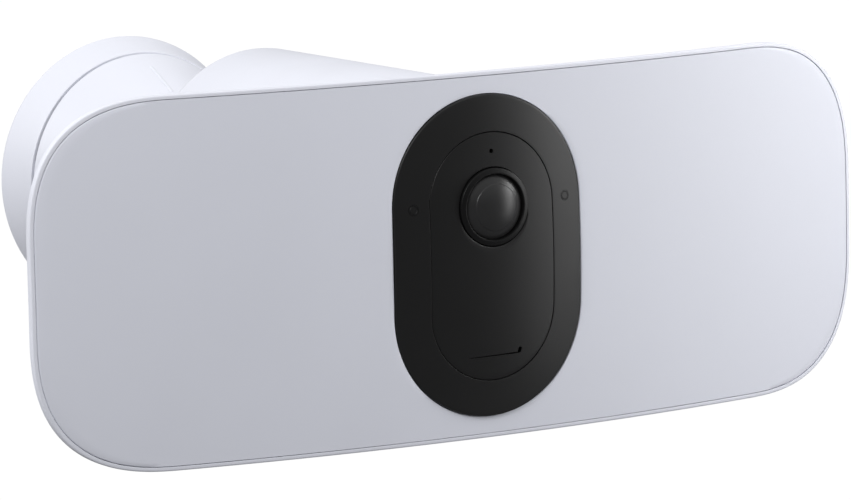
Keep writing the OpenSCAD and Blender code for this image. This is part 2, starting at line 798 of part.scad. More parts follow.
// The lens's barrel: a stepped tube with its front element's seat.
module lens_barrel() color(black) in_panel() translate([0, 0, lens_z]) difference() {
  union() {
    rod_y(7.4, -1, 6, fn_round);
    rod_y(9, 6, 13, fn_round);
  }
  rod_y(5, -2, 1.2, fn_round);
  rod_y(3.2, 1, 11, fn_round);
}

module image_board() color(board_green) in_panel() box_y(0, lens_z, 26, 26, 13, 14.6);

// Two small round windows, one on each side of the face.
module side_windows() color("#26262a") in_panel() for (s = [-1, 1]) translate([s * window_x, 0, window_z])
  rod_y(1.85, -0.9, plate_back + 1, fn_small);

module infrared_leds() color(glass_dark) in_panel() for (s = [-1, 1]) translate([s * window_x, 0, window_z])
  rod_y(1.5, plate_back + 1.2, plate_back + 5, fn_small);

// The motion sensor: a small metal can behind the face.
module pir_sensor() color(steel) in_panel() translate([0, 0, -10]) {
  rod_y(4.6, 3.4, 7, fn_small);
  rod_y(5, 7, 7.8, fn_small);
}

module microphone() color(steel) in_panel() translate([0, 0, mic_z])
  rod_y(2.2, plate_back + 0.2, plate_back + 3, fn_small);

// The speaker: a basket with a magnet behind it.
module speaker() color(black) in_panel() translate([0, 0, -17]) {
  rod_y(12, 9.2, 12.4);
  rod_y(7, 12.4, 15.5);
}

module siren() color(black) in_panel() translate([22, 0, 30]) {
  rod_y(10, 24, 30, fn_small);
}

module main_board() color(board_green) in_panel() box_y(0, drum_rise, 56, 64, 19, 20.6);

module bezel_screws() color(steel) in_panel() bezel_screw_places()
  translate([0, 1.2, 0]) screw_y(2.2, 1.2, 1, 3.8, 0.9);

// Two flat aerials near the panel's top edge.
module antennas() color(brass_yellow) in_panel() for (s = [-1, 1]) translate([s * 92, bow(92, 0) + 8, 48])
  rotate([0, 0, s * board_turn]) box_y(0, 0, 34, 8, 0, 0.8);

// ---- Battery ------------------------------------------------------------------------------------

// The cradle: a disc that closes the neck and a half tube with a floor for the battery.
module battery_cradle() color(black) in_drum() difference() {
  union() {
    rod_y(cradle_r, cradle_start, cradle_start + 3);
    intersection() {
      ring_y(cradle_r, cradle_r - cradle_wall, cradle_start + 2, cradle_end);
      box_y(0, -30, 120, 60, cradle_start + 2, cradle_end);
    }
    intersection() {
      rod_y(cradle_r - 1, cradle_start + 2, cradle_end);
      box_y(0, floor_z - 1.25, 100, 2.5, cradle_start + 2, cradle_end);
    }
  }
  box_y(0, -45, 2 * slot_half, 18, button_y - 12, cradle_end + 1);
  box_y(0, -46, port_w + 1, 18, cradle_start - 1, cradle_start + 4);
}

// The rechargeable battery, with rounded long edges.
module battery_pack() color("#3a3d42") in_drum() prism_y(battery_start, battery_end) {
  corner = 6;
  middle = (battery_top + floor_z) / 2;
  half = (battery_top - floor_z) / 2;
  for (s = [-1, 1], t = [-1, 1])
    translate([s * (battery_half_w - corner), middle + t * (half - corner)])
      circle(r = corner, $fn = fn_small);
  translate([0, middle]) square([2 * battery_half_w, 2 * (half - corner)], center = true);
  translate([0, middle]) square([2 * (battery_half_w - corner), 2 * half], center = true);
}

module contact_block() color(black) in_drum() box_y(0, -12, 26, 12, cradle_start + 3, cradle_start + 6.5);

module battery_contacts() color(brass_yellow) in_drum() for (x = [-8 : 4 : 8])
  box_y(x, -12, 2, 6, cradle_start + 6.5, battery_start);

// The ring seal on the neck's spigot.
module neck_seal() color(seal_black) in_drum()
  ring_y(spigot_r + 0.4, spigot_r - 1, neck_end + 3, neck_end + 5);

// ---- Sync button --------------------------------------------------------------------------------

module sync_switch() color(black) in_panel() translate([sync_x, 0, 0]) box_y(0, 0, 7, 7, 16.2, 18.4);

module sync_button() color(paint) in_panel() translate([sync_x, 0, 0]) {
  difference() {
    rod_y(sync_r, 20, sync_face, fn_small);
    rod_y(2.6, sync_face - 0.3, sync_face + 1, fn_small);
  }
}

// ---- Assembly -----------------------------------------------------------------------------------

mount_base();
wall_bracket();
wall_gasket();
bracket_screws();
security_screw();
mount_cap();
tilt_fork();
fork_screws();
swivel_ball();
tilt_bolt();
tilt_nut();
pan_pins();
tilt_washers();
pan_washers();
battery_housing();
pan_yoke();
yoke_screws();
button_guide();
release_spring();
release_button();
rear_shell();
light_cover();
cover_gasket();
shell_screws();
led_board_left();
led_board_right();
leds_left();
leds_right();
heat_spreader_left();
heat_spreader_right();
camera_bezel();
camera_face();
lens_ring();
lens_dome();
lens_barrel();
image_board();
side_windows();
infrared_leds();
pir_sensor();
microphone();
speaker();
siren();
main_board();
bezel_screws();
antennas();
battery_cradle();
contact_block();
battery_pack();
battery_contacts();
neck_seal();
charge_port();
port_pins();
port_cover();
sync_switch();
sync_button();
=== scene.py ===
# %% [markdown]
# # A floodlight security camera, piece by piece
# The real thing is a wide bowed light panel with a black camera pill in its middle. A round battery
# housing stands behind it, and a swivel joins that to a twist-lock mount on the wall. Its solids give
# every place and size, and the pieces made here take their places with softer edges, finer curves and
# real finishes.

# %% Load the frame
import json
import math

import bmesh
import bpy
import numpy as np
from mathutils import Matrix, Vector


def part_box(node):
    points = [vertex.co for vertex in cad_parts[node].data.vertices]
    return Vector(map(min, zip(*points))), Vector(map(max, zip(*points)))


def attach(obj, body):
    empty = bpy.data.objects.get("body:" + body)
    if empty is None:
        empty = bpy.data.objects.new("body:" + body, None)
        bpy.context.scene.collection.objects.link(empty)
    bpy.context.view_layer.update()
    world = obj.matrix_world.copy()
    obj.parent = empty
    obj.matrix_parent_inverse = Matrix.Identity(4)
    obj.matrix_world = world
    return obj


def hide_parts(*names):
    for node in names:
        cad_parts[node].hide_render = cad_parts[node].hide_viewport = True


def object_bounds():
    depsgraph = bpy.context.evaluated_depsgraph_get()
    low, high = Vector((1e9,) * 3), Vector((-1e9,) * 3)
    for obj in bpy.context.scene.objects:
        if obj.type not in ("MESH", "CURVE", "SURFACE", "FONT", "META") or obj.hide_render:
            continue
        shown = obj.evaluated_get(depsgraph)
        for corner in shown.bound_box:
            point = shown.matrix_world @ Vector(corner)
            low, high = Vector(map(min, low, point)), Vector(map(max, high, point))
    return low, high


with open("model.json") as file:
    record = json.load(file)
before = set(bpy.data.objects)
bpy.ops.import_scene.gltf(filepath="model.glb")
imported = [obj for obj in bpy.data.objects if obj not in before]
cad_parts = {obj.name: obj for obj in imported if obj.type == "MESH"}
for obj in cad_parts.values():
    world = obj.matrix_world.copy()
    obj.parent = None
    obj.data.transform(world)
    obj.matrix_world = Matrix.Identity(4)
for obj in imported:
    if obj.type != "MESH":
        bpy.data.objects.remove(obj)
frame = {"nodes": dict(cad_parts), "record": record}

cad_low, cad_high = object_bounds()
MM = 0.001
print("box in mm:", [round(v / MM, 1) for v in (*cad_low, *cad_high)])

# %% [markdown]
# ## Where things are
# Four places carry the whole object: the panel's middle, the housing's axis, the swivel's centre and
# the wall. They are measured on the solids, in millimetres, so nothing is placed by eye.

# %% Four places, in millimetres
def box_mm(node):
    """The lowest and highest corner of a solid, in millimetres."""
    low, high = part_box(node)
    return np.array(low) / MM, np.array(high) / MM


DOME_RISE = 7.4
shell_low, shell_high = box_mm("rear_shell")
drum_low, drum_high = box_mm("battery_housing")
ball_low, ball_high = box_mm("swivel_ball")
front_y = box_mm("lens_dome")[0][1] + DOME_RISE
panel_at = np.array([0, front_y, (shell_low[2] + shell_high[2]) / 2])
drum_at = np.array([0, front_y, (drum_low[2] + drum_high[2]) / 2])
swivel_at = (ball_low + ball_high) / 2
DRUM_RISE = drum_at[2] - panel_at[2]
print("panel", panel_at.round(2), "housing", drum_at.round(2), "swivel", swivel_at.round(2))

# %% [markdown]
# ## The camera
# It stands two metres away, to the object's right hand and a little above, with a long lens, so that
# the wide panel shows hardly any perspective.

# %% The viewing camera
AZIMUTH, ELEVATION, ROLL = (math.radians(v) for v in (-30.7648, 8.2331, -1.2308))
CAMERA_BACK, CAMERA_RIGHT, CAMERA_UP = 2.0222, -0.02359, 0.00212
LENS, SENSOR = 233.14, 36.0
NEAR_CLIP, FAR_CLIP = 0.05, 60


def add_object(name, data):
    """An object at the origin, linked to the scene."""
    thing = bpy.data.objects.new(name, data)
    bpy.context.scene.collection.objects.link(thing)
    return thing


back = Vector((
    math.sin(AZIMUTH) * math.cos(ELEVATION), -math.cos(AZIMUTH) * math.cos(ELEVATION), math.sin(ELEVATION),
))
level = Vector((math.cos(AZIMUTH), math.sin(AZIMUTH), 0))
upright = back.cross(level)
right = level * math.cos(ROLL) + upright * math.sin(ROLL)
up = upright * math.cos(ROLL) - level * math.sin(ROLL)

camera_data = bpy.data.cameras.new("camera")
camera_data.lens, camera_data.sensor_width = LENS, SENSOR
camera_data.clip_start, camera_data.clip_end = NEAR_CLIP, FAR_CLIP
camera = add_object("camera", camera_data)
spot = Vector(panel_at * MM) + back * CAMERA_BACK + right * CAMERA_RIGHT + up * CAMERA_UP
stance = Matrix((right, up, back)).transposed().to_4x4()
camera.matrix_world = Matrix.Translation(spot) @ stance
bpy.context.scene.camera = camera
print("camera at", [round(v, 3) for v in spot])

# %% [markdown]
# ## Building blocks for materials
# A finish is a Principled shader fed by a few patterns: the fine grain of a moulding tool, the worn
# edge, settled dust. Each pattern is a node group, made once, and every material places it with its
# own numbers. One small helper adds a node and fills its inputs.

# %% A helper that places a node
def place(tree, kind, inputs=None, **settings):
    """Adds a node, sets its properties, then links or sets each named input."""
    node = tree.nodes.new(kind)
    for key, value in settings.items():
        setattr(node, key, value)
    for key, value in (inputs or {}).items():
        if isinstance(value, list):
            for socket in value:
                tree.links.new(socket, node.inputs[key])
        elif isinstance(value, bpy.types.NodeSocket):
            tree.links.new(value, node.inputs[key])
        else:
            node.inputs[key].default_value = value
    return node


def math_node(tree, operation, a, b):
    """The result of one sum on two values or sockets."""
    return place(tree, "ShaderNodeMath", {0: a, 1: b}, operation=operation).outputs[0]


def spread(tree, value, low, high):
    """A value stretched so that low becomes 0 and high becomes 1."""
    return place(tree, "ShaderNodeMapRange", {0: value, 1: low, 2: high}).outputs[0]


def new_group(name, inputs, outputs, tree_type="ShaderNodeTree"):
    """An empty node group, with its sockets given as name: (type, default)."""
    tree = bpy.data.node_groups.new(name, tree_type)
    for label, (kind, default) in inputs.items():
        socket = tree.interface.new_socket(name=label, in_out="INPUT", socket_type=kind)
        if default is not None:
            socket.default_value = default
    for label, kind in outputs.items():
        tree.interface.new_socket(name=label, in_out="OUTPUT", socket_type=kind)
    return tree, place(tree, "NodeGroupInput"), place(tree, "NodeGroupOutput")


FLOAT, VECTOR = "NodeSocketFloat", "NodeSocketVector"

# %% [markdown]
# ## Grain, wear and dust
# Moulded plastic copies the spark-eroded face of its tool: a fine, even pebbling with a slow change of
# tone over the part. Edges polish first, so a mask finds them by comparing the true normal with a
# rounded one. Dust lies on what faces up, in patches.

# %% Three pattern groups
def make_grain():
    tree, given, out = new_group(
        "tool_grain",
        {"Vector": (VECTOR, None), "Scale": (FLOAT, 2600.0), "Patches": (FLOAT, 14.0)},
        {"Height": FLOAT, "Tone": FLOAT},
    )
    vector, scale = given.outputs["Vector"], given.outputs["Scale"]
    pebble = place(tree, "ShaderNodeTexVoronoi", {"Vector": vector, "Scale": scale}, feature="SMOOTH_F1")
    fine = place(tree, "ShaderNodeTexNoise", {"Vector": vector, "Scale": scale, "Detail": 3.0})
    height = math_node(tree, "ADD", pebble.outputs[0], fine.outputs[0])
    patch = place(tree, "ShaderNodeTexNoise", {
        "Vector": vector, "Scale": given.outputs["Patches"], "Detail": 4.0,
    })
    tree.links.new(height, out.inputs["Height"])
    tree.links.new(spread(tree, patch.outputs[0], 0.3, 0.7), out.inputs["Tone"])
    return tree


def make_wear():
    tree, given, out = new_group(
        "worn_edge",
        {"Vector": (VECTOR, None), "Radius": (FLOAT, 0.0008), "Breakup": (FLOAT, 180.0)},
        {"Mask": FLOAT},
    )
    rounded = place(tree, "ShaderNodeBevel", {"Radius": given.outputs["Radius"]}, samples=4)
    true = place(tree, "ShaderNodeNewGeometry")
    same = place(tree, "ShaderNodeVectorMath", {
        0: rounded.outputs[0], 1: true.outputs["Normal"],
    }, operation="DOT_PRODUCT")
    edge = spread(tree, same.outputs["Value"], 0.995, 0.86)
    noise = place(tree, "ShaderNodeTexNoise", {
        "Vector": given.outputs["Vector"], "Scale": given.outputs["Breakup"], "Detail": 5.0,
    })
    broken = spread(tree, noise.outputs[0], 0.35, 0.65)
    tree.links.new(math_node(tree, "MULTIPLY", edge, broken), out.inputs["Mask"])
    return tree


def make_dust():
    tree, given, out = new_group(
        "settled_dust",
        {"Vector": (VECTOR, None), "Scale": (FLOAT, 60.0)},
        {"Mask": FLOAT},
    )
    facing = place(tree, "ShaderNodeTexCoord").outputs["Normal"]
    axes = place(tree, "ShaderNodeSeparateXYZ", {0: facing})
    upward = spread(tree, axes.outputs["Z"], 0.35, 1.0)
    noise = place(tree, "ShaderNodeTexNoise", {
        "Vector": given.outputs["Vector"], "Scale": given.outputs["Scale"], "Detail": 6.0, "Roughness": 0.7,
    })
    patch = spread(tree, noise.outputs[0], 0.45, 0.75)
    tree.links.new(math_node(tree, "MULTIPLY", upward, patch), out.inputs["Mask"])
    return tree


GRAIN, WEAR, DUST = make_grain(), make_wear(), make_dust()
print("pattern groups:", GRAIN.name, WEAR.name, DUST.name)

# %% [markdown]
# ## Moulded plastic, metal and board
# One function makes every plastic and rubber, with the grain's size and depth as arguments. Metals
# stretch their noise along one axis, like rolling or brushing marks. A circuit board gets a fine net
# of tracks under its lacquer.

# %% Finishes
DUST_COLOUR = (0.46, 0.44, 0.41, 1)
PAD_COLOUR = (0.72, 0.6, 0.36, 1)
ROUGH_SPREAD, WORN_POLISH = 0.04, 0.12


def start_material(name, roughness, metallic=0.0):
    material = bpy.data.materials.new(name)
    material.use_nodes = True
    tree = material.node_tree
    shader = tree.nodes["Principled BSDF"]
    shader.inputs["Roughness"].default_value = roughness
    shader.inputs["Metallic"].default_value = metallic
    where = place(tree, "ShaderNodeTexCoord").outputs["Object"]
    return material, tree, shader, where


def blend_colour(tree, mask, a, b):
    """A colour between a and b, by a mask."""
    return place(tree, "ShaderNodeMix", {0: mask, 6: a, 7: b}, data_type="RGBA").outputs[2]


def scaled(tree, mask, amount):
    return math_node(tree, "MULTIPLY", mask, amount)


def shade(colour, factor):
    """A lighter or darker copy of a colour."""
    return tuple(min(1.0, c * factor) for c in colour[:3]) + (1,)


def bump_up(tree, shader, strength, depth, height):
    """Lets a height pattern tilt the shader's normal."""
    bump = place(tree, "ShaderNodeBump", {"Strength": strength, "Distance": depth, "Height": height})
    tree.links.new(bump.outputs["Normal"], shader.inputs["Normal"])


def moulded(name, colour, roughness, scale=2600.0, depth=0.00002, patch=14.0, vary=0.05,
            wear=0.25, wear_factor=1.25, dust=0.06, specular=0.5):
    """A moulded plastic or rubber: tool grain, patches of tone, polished edges and a trace of dust."""
    material, tree, shader, where = start_material(name, roughness)
    colour = (*colour, 1)
    grain = place(tree, "ShaderNodeGroup", node_tree=GRAIN)
    worn = place(tree, "ShaderNodeGroup", node_tree=WEAR)
    dusty = place(tree, "ShaderNodeGroup", node_tree=DUST)
    for node in (grain, worn, dusty):
        tree.links.new(where, node.inputs["Vector"])
    grain.inputs["Scale"].default_value = scale
    grain.inputs["Patches"].default_value = patch
    base = blend_colour(tree, grain.outputs["Tone"], shade(colour, 1 - vary), shade(colour, 1 + vary))
    base = blend_colour(tree, scaled(tree, worn.outputs["Mask"], wear), base, shade(colour, wear_factor))
    base = blend_colour(tree, scaled(tree, dusty.outputs["Mask"], dust), base, DUST_COLOUR)
    tree.links.new(base, shader.inputs["Base Color"])
    rough = place(tree, "ShaderNodeMapRange", {
        0: grain.outputs["Tone"], 3: roughness - ROUGH_SPREAD, 4: roughness + ROUGH_SPREAD,
    })
    polish = scaled(tree, worn.outputs["Mask"], WORN_POLISH * wear)
    smoother = math_node(tree, "SUBTRACT", rough.outputs[0], polish)
    tree.links.new(smoother, shader.inputs["Roughness"])
    bump_up(tree, shader, 0.5, depth, grain.outputs["Height"])
    shader.inputs["Specular IOR Level"].default_value = specular
    return material


METAL_VARY, METAL_WEAR, METAL_WEAR_FACTOR = 0.12, 0.5, 1.3


def metal(name, colour, roughness, stretch, depth=0.00002):
    """A metal with marks drawn out along the axis whose stretch is smallest."""
    material, tree, shader, where = start_material(name, roughness, 1.0)
    colour = (*colour, 1)
    drawn = place(tree, "ShaderNodeMapping", {"Vector": where, "Scale": stretch})
    marks = place(tree, "ShaderNodeTexNoise", {"Vector": drawn.outputs[0], "Scale": 60.0, "Detail": 6.0})
    worn = place(tree, "ShaderNodeGroup", {"Vector": where, "Radius": 0.0006}, node_tree=WEAR)
    tone = spread(tree, marks.outputs[0], 0.3, 0.7)
    base = blend_colour(tree, tone, shade(colour, 1 - METAL_VARY), shade(colour, 1 + METAL_VARY))
    bright = shade(colour, METAL_WEAR_FACTOR)
    base = blend_colour(tree, scaled(tree, worn.outputs["Mask"], METAL_WEAR), base, bright)
    tree.links.new(base, shader.inputs["Base Color"])
    rough = place(tree, "ShaderNodeMapRange", {
        0: marks.outputs[0], 1: 0.3, 2: 0.7, 3: roughness - 0.08, 4: roughness + 0.1,
    })
    tree.links.new(rough.outputs[0], shader.inputs["Roughness"])
    bump_up(tree, shader, 0.4, depth, marks.outputs[0])
    return material


def circuit(name, colour, track):
    """A lacquered board: raised tracks in a brick pattern, with round pads between them."""
    material, tree, shader, where = start_material(name, 0.38)
    turned_flat = place(tree, "ShaderNodeMapping", {"Vector": where, "Rotation": (math.pi / 2, 0, 0)})
    net = place(tree, "ShaderNodeTexBrick", {
        "Vector": turned_flat.outputs[0], "Scale": 120.0, "Mortar Size": 0.06, "Mortar Smooth": 0.3,
        "Brick Width": 1.3, "Row Height": 0.35,
    })
    pads = place(tree, "ShaderNodeTexVoronoi", {"Vector": where, "Scale": 260.0})
    pad = spread(tree, pads.outputs[0], 0.22, 0.18)
    base = blend_colour(tree, net.outputs["Fac"], (*colour, 1), (*track, 1))
    base = blend_colour(tree, scaled(tree, pad, 0.6), base, PAD_COLOUR)
    tree.links.new(base, shader.inputs["Base Color"])
    bump_up(tree, shader, 0.5, 0.00003, net.outputs["Fac"])
    shader.inputs["Coat Weight"].default_value = 0.6
    return material

# %% [markdown]
# ## The finishes of this object
# The shell is white plastic with a fine satin grain, and the light cover a cool grey one that spreads
# the light. The camera's pill is black satin, a touch smoother. Inside are boards, alloy plates and
# brass springs. Each finish bears the name of its slot in the record.

# %% One material for each slot
SATIN = dict(depth=0.000008, vary=0.06, wear=0.15, wear_factor=1.4, dust=0.004, specular=0.27)
plastics = {
    "shell_white": ((0.69, 0.704, 0.772), 0.46, dict(vary=0.012, wear_factor=1.1, dust=0.04)),
    "cover_grey": ((0.66, 0.675, 0.745), 0.52, dict(
        scale=3200, depth=0.000012, vary=0.01, wear=0.1, wear_factor=1.05, dust=0.02)),
    "bezel_black": ((0.0082, 0.0082, 0.0084), 0.38, SATIN),
    "face_black": ((0.0078, 0.0078, 0.008), 0.36, SATIN),
    "lens_black": ((0.005, 0.005, 0.0052), 0.36, dict(
        depth=0.000005, vary=0.08, wear=0.15, wear_factor=1.4, dust=0.003, specular=0.16)),
    "window_dark": ((0.0085, 0.0085, 0.0088), 0.39, dict(
        scale=900, depth=0.000003, vary=0.05, wear=0.1, wear_factor=1.3, dust=0.003, specular=0.25)),
    "frame_black": ((0.02, 0.02, 0.022), 0.52, dict(vary=0.1, wear_factor=1.8)),
    "button_white": ((0.78, 0.79, 0.81), 0.4, dict(vary=0.015, dust=0.05)),
    "rubber_black": ((0.026, 0.026, 0.028), 0.72, dict(
        scale=1500, depth=0.00004, vary=0.12, wear_factor=1.7, specular=0.35)),
    "battery_grey": ((0.09, 0.095, 0.105), 0.5, dict(vary=0.08, wear_factor=1.5)),
    "led_yellow": ((0.82, 0.66, 0.24), 0.45, dict(scale=6000, patch=400, vary=0.1, wear_factor=1.1)),
}
metals = {
    "screw_steel": ((0.58, 0.59, 0.61), 0.3, (20, 20, 90)),
    "bracket_steel": ((0.55, 0.56, 0.58), 0.38, (6, 60, 120)),
    "cast_alloy": ((0.62, 0.63, 0.65), 0.44, (30, 30, 30), 0.00006),
    "heat_alloy": ((0.68, 0.69, 0.71), 0.4, (8, 80, 160)),
    "contact_brass": ((0.76, 0.6, 0.28), 0.28, (20, 20, 60)),
}
finishes = {name: moulded(name, tint, rough, **more) for name, (tint, rough, more) in plastics.items()}
finishes.update({name: metal(name, *numbers) for name, numbers in metals.items()})
finishes["board_green"] = circuit("board_green", (0.02, 0.12, 0.06), (0.035, 0.2, 0.1))


SMOKE_DARK, SMOKE_PALE = (0.018, 0.018, 0.0185, 1), (0.024, 0.024, 0.0245, 1)


def smoked_glass(name):
    """The dome in front of the lens: nearly black smoked plastic with faint smears in its gloss."""
    material, tree, shader, where = start_material(name, 0.3)
    smear = place(tree, "ShaderNodeTexNoise", {"Vector": where, "Scale": 60.0, "Detail": 3.0})
    rough = place(tree, "ShaderNodeMapRange", {0: smear.outputs[0], 3: 0.3, 4: 0.38})
    tree.links.new(rough.outputs[0], shader.inputs["Roughness"])
    tint = blend_colour(tree, smear.outputs[0], SMOKE_DARK, SMOKE_PALE)
    tree.links.new(tint, shader.inputs["Base Color"])
    for label, value in (("Transmission Weight", 0.12), ("IOR", 1.46), ("Specular IOR Level", 0.32)):
        shader.inputs[label].default_value = value
    return material


finishes["lens_glass"] = smoked_glass("lens_glass")

# %% [markdown]
# ## Building blocks for shapes
# Most pieces are skins over rings of points: a ring is an outline, and the next ring lies a little
# further along the section. A section's corners are softened first, because no moulded edge is
# sharp. The last ring closes on the first, which makes a watertight wall.

# %% Skins over rings
ON_AXIS = 0.01


def soften(corners, steps=4):
    """A closed section of (u, v, rounding) corners, each cut by a small curve."""
    points, count = [], len(corners)
    for i, (u, v, size) in enumerate(corners):
        here = np.array([u, v], float)
        if size <= 0:
            points.append(here)
            continue
        ends = []
        for other in (corners[i - 1], corners[(i + 1) % count]):
            toward = np.array(other[:2], float) - here
            length = np.hypot(*toward)
            ends.append(here + toward * min(size, 0.48 * length) / length)
        for k in range(steps + 1):
            t = k / steps
            points.append((1 - t) ** 2 * ends[0] + 2 * t * (1 - t) * here + t * t * ends[1])
    return np.array(points)


SHARP = 35


def smooth(mesh, sharp=SHARP):
    """Smooth shading, except over edges sharper than so many degrees."""
    mesh.shade_smooth()
    mesh.set_sharp_from_angle(angle=math.radians(sharp))


def free_into(mesh_data, name):
    """Moves a bmesh into a new mesh."""
    mesh = bpy.data.meshes.new(name)
    mesh_data.to_mesh(mesh)
    mesh_data.free()
    return mesh


def finish_mesh(name, mesh_data, material, sharp=SHARP):
    """Turns a bmesh into a piece with outward faces and smooth shading between sharp edges."""
    bmesh.ops.remove_doubles(mesh_data, verts=mesh_data.verts, dist=1e-6)
    bmesh.ops.recalc_face_normals(mesh_data, faces=mesh_data.faces)
    mesh = free_into(mesh_data, name)
    smooth(mesh, sharp)
    mesh.materials.append(material)
    return add_object(name, mesh)


def apply_all(piece, sharp=SHARP):
    """Swaps a piece's mesh for what its modifiers make of it."""
    bpy.context.view_layer.update()
    solved = piece.evaluated_get(bpy.context.evaluated_depsgraph_get())
    mesh = bpy.data.meshes.new_from_object(solved)
    piece.modifiers.clear()
    old, piece.data = piece.data, mesh
    bpy.data.meshes.remove(old)
    mesh.name = piece.name
    smooth(mesh, sharp)
    return piece


def skin(rings, closed=True, caps=False):
    """A bmesh over rings of points in millimetres, each ring an array of (count, 3)."""
    rings = np.asarray(rings, float) * MM
    mesh_data = bmesh.new()
    rows = [[mesh_data.verts.new(p) for p in ring] for ring in rings]
    count = len(rows[0])
    for k in range(len(rows) if closed else len(rows) - 1):
        a, b = rows[k], rows[(k + 1) % len(rows)]
        for i in range(count):
            j = (i + 1) % count
            mesh_data.faces.new((a[i], a[j], b[j], b[i]))
    if caps:
        mesh_data.faces.new(rows[0])
        mesh_data.faces.new(rows[-1])
    return mesh_data


def turned(section, centre, steps):
    """One ring for each (radius, y) of a section, about the y axis through centre."""
    turn = np.arange(steps) * 2 * math.pi / steps
    return [np.stack([radius * np.cos(turn), np.full(steps, y), radius * np.sin(turn)], axis=1) + centre
            for radius, y in section]


def lathed(section, centre, steps=192):
    """A closed section turned into a solid."""
    return skin(turned(section, centre, steps))


def rod(radius, low, high, centre, steps=48):
    """A plain cylinder along y, used as a cutter."""
    return skin(turned([(radius, low), (radius, high)], centre, steps), closed=False, caps=True)


def ring_places(radius, y, start, count=4, centre=(0, 0, 0)):
    """Places at equal steps round a circle, the first at start degrees."""
    steps = [math.radians(start + 360 * k / count) for k in range(count)]
    return [(centre[0] + radius * math.cos(a), y, centre[2] - radius * math.sin(a)) for a in steps]


def arc_strip(middle, outer_r, inner_r, half_angle, steps):
    """The outline of a curved strip about the mount's axis."""
    a = middle + np.linspace(-half_angle, half_angle, steps)
    outside = np.stack([outer_r * np.cos(a), -outer_r * np.sin(a)], axis=1)
    return np.vstack([outside, outside[::-1] * inner_r / outer_r])


def prism(shape, low, high, centre, along="y"):
    """A flat outline made solid, along y or, for a hole in a tube's underside, along z."""
    shape = np.asarray(shape, float)
    rings = []
    for level_at in (low, high):
        flat = np.full(len(shape), level_at)
        columns = (shape[:, 0], flat, shape[:, 1]) if along == "y" else (shape[:, 0], shape[:, 1], flat)
        rings.append(np.stack(columns, axis=1) + centre)
    return skin(rings, closed=False, caps=True)


def merged(parts):
    """Several bmeshes as one."""
    total = bmesh.new()
    for part in parts:
        bmesh.ops.recalc_face_normals(part, faces=part.faces)
        mesh = free_into(part, "part")
        total.from_mesh(mesh)
        bpy.data.meshes.remove(mesh)
    return total


def carve(piece, parts, operation="DIFFERENCE"):
    """Cuts or adds plain shapes, then throws the cutter away."""
    cutter = finish_mesh("cutter", merged(parts), piece.data.materials[0])
    change = piece.modifiers.new("carve", "BOOLEAN")
    change.object, change.operation, change.solver = cutter, operation, "EXACT"
    apply_all(piece)
    bpy.data.objects.remove(cutter)


made = []


def settle(piece, body, slot, *nodes):
    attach(piece, body)
    if nodes:
        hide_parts(*nodes)
    piece.data.calc_loop_triangles()
    made.append((piece.name, len(piece.data.loop_triangles)))
    print(f"{piece.name}: {made[-1][1]} triangles on {body}")
    return piece

# %% [markdown]
# ## The panel's shape
# The front is bowed both ways, like a piece cut from a barrel. Its outline is a rectangle with soft
# corners, a little squarer than a circle. The depth of the back at a point depends only on how far
# the point lies in from the outline, so one rule gives the whole curved back.

# %% The rules of the panel
HALF_W, HALF_H = shell_high[0], (shell_high[2] - shell_low[2]) / 2
CORNER, POWER = 54.2, 2.64
BOW_X, BOW_Z = 714.0, 1059.0
RIM, SEAM, COVER, LEDGE = 1.6, 0.2, 2.0, 2.8
BACK_R, WALL = 48.0, 2.6
TURN_IN = BACK_R * math.cos(math.radians(38))
TURN_Y = 2.2 - BACK_R * math.sin(math.radians(38))
AROUND = 480


def barrel(x, z, across, along):
    """Depth of a bowed front: radius across from left to right, and along from top to bottom."""
    return across - np.sqrt((across - along + np.sqrt(along**2 - z**2)) ** 2 - x**2)


def bow(x, z):
    return barrel(x, z, BOW_X, BOW_Z)


def evenly(points, count):
    """Points at equal steps along a closed line."""
    closed = np.vstack([points, points[:1]])
    run = np.concatenate([[0], np.cumsum(np.hypot(*np.diff(closed, axis=0).T))])
    at = np.linspace(0, run[-1], count, endpoint=False)
    return np.stack([np.interp(at, run, closed[:, k]) for k in (0, 1)], axis=1)


def panel_outline(inset=0.0):
    """The soft-cornered outline, from the right-hand middle and up."""
    w, h, r = HALF_W - inset, HALF_H - inset, CORNER - inset
    a = np.linspace(0, math.pi / 2, 120)
    corner = np.stack([
        w - r + r * np.cos(a) ** (2 / POWER), h - r + r * np.sin(a) ** (2 / POWER),
    ], axis=1)
    quarter = np.vstack([[[w, 0]], corner, [[0, h]]])
    half = np.vstack([quarter, (quarter * [-1, 1])[::-1][1:]])
    return evenly(np.vstack([half, (half * [1, -1])[::-1][1:-1]]), AROUND)


def pill(half_w, half_h):
    """An upright pill, from the right-hand middle and up."""
    a = np.linspace(0, math.pi, 240)
    top = np.stack([half_w * np.cos(a), half_h - half_w + half_w * np.sin(a)], axis=1)
    right_side = [[half_w, 0]]
    return evenly(np.vstack([right_side, top, (top * [1, -1])[::-1]]), AROUND)


def circle(radius, cx, cz, count=AROUND):
    a = np.arange(count) * 2 * math.pi / count
    return np.stack([cx + radius * np.cos(a), cz + radius * np.sin(a)], axis=1)


def inset_of(x, z):
    """How far in from the outline a point lies."""
    dx = np.maximum(np.abs(x) - (HALF_W - CORNER), 0)
    dz = np.maximum(np.abs(z) - (HALF_H - CORNER), 0)
    return CORNER - (dx**POWER + dz**POWER) ** (1 / POWER)


def back_depth(x, z, wall=0.0):
    """Depth of the back behind the bow, outside, or inside the wall."""
    radius = BACK_R - wall
    off = np.clip(TURN_IN - inset_of(x, z), 0, radius)
    return bow(x, z) + TURN_Y + np.sqrt(radius**2 - off**2)


def ring_of(flat, depth):
    """A ring in the panel's place: flat points in x and z, and their depth."""
    depth = np.broadcast_to(depth, len(flat))
    return np.stack([flat[:, 0], depth, flat[:, 1]], axis=1) + panel_at

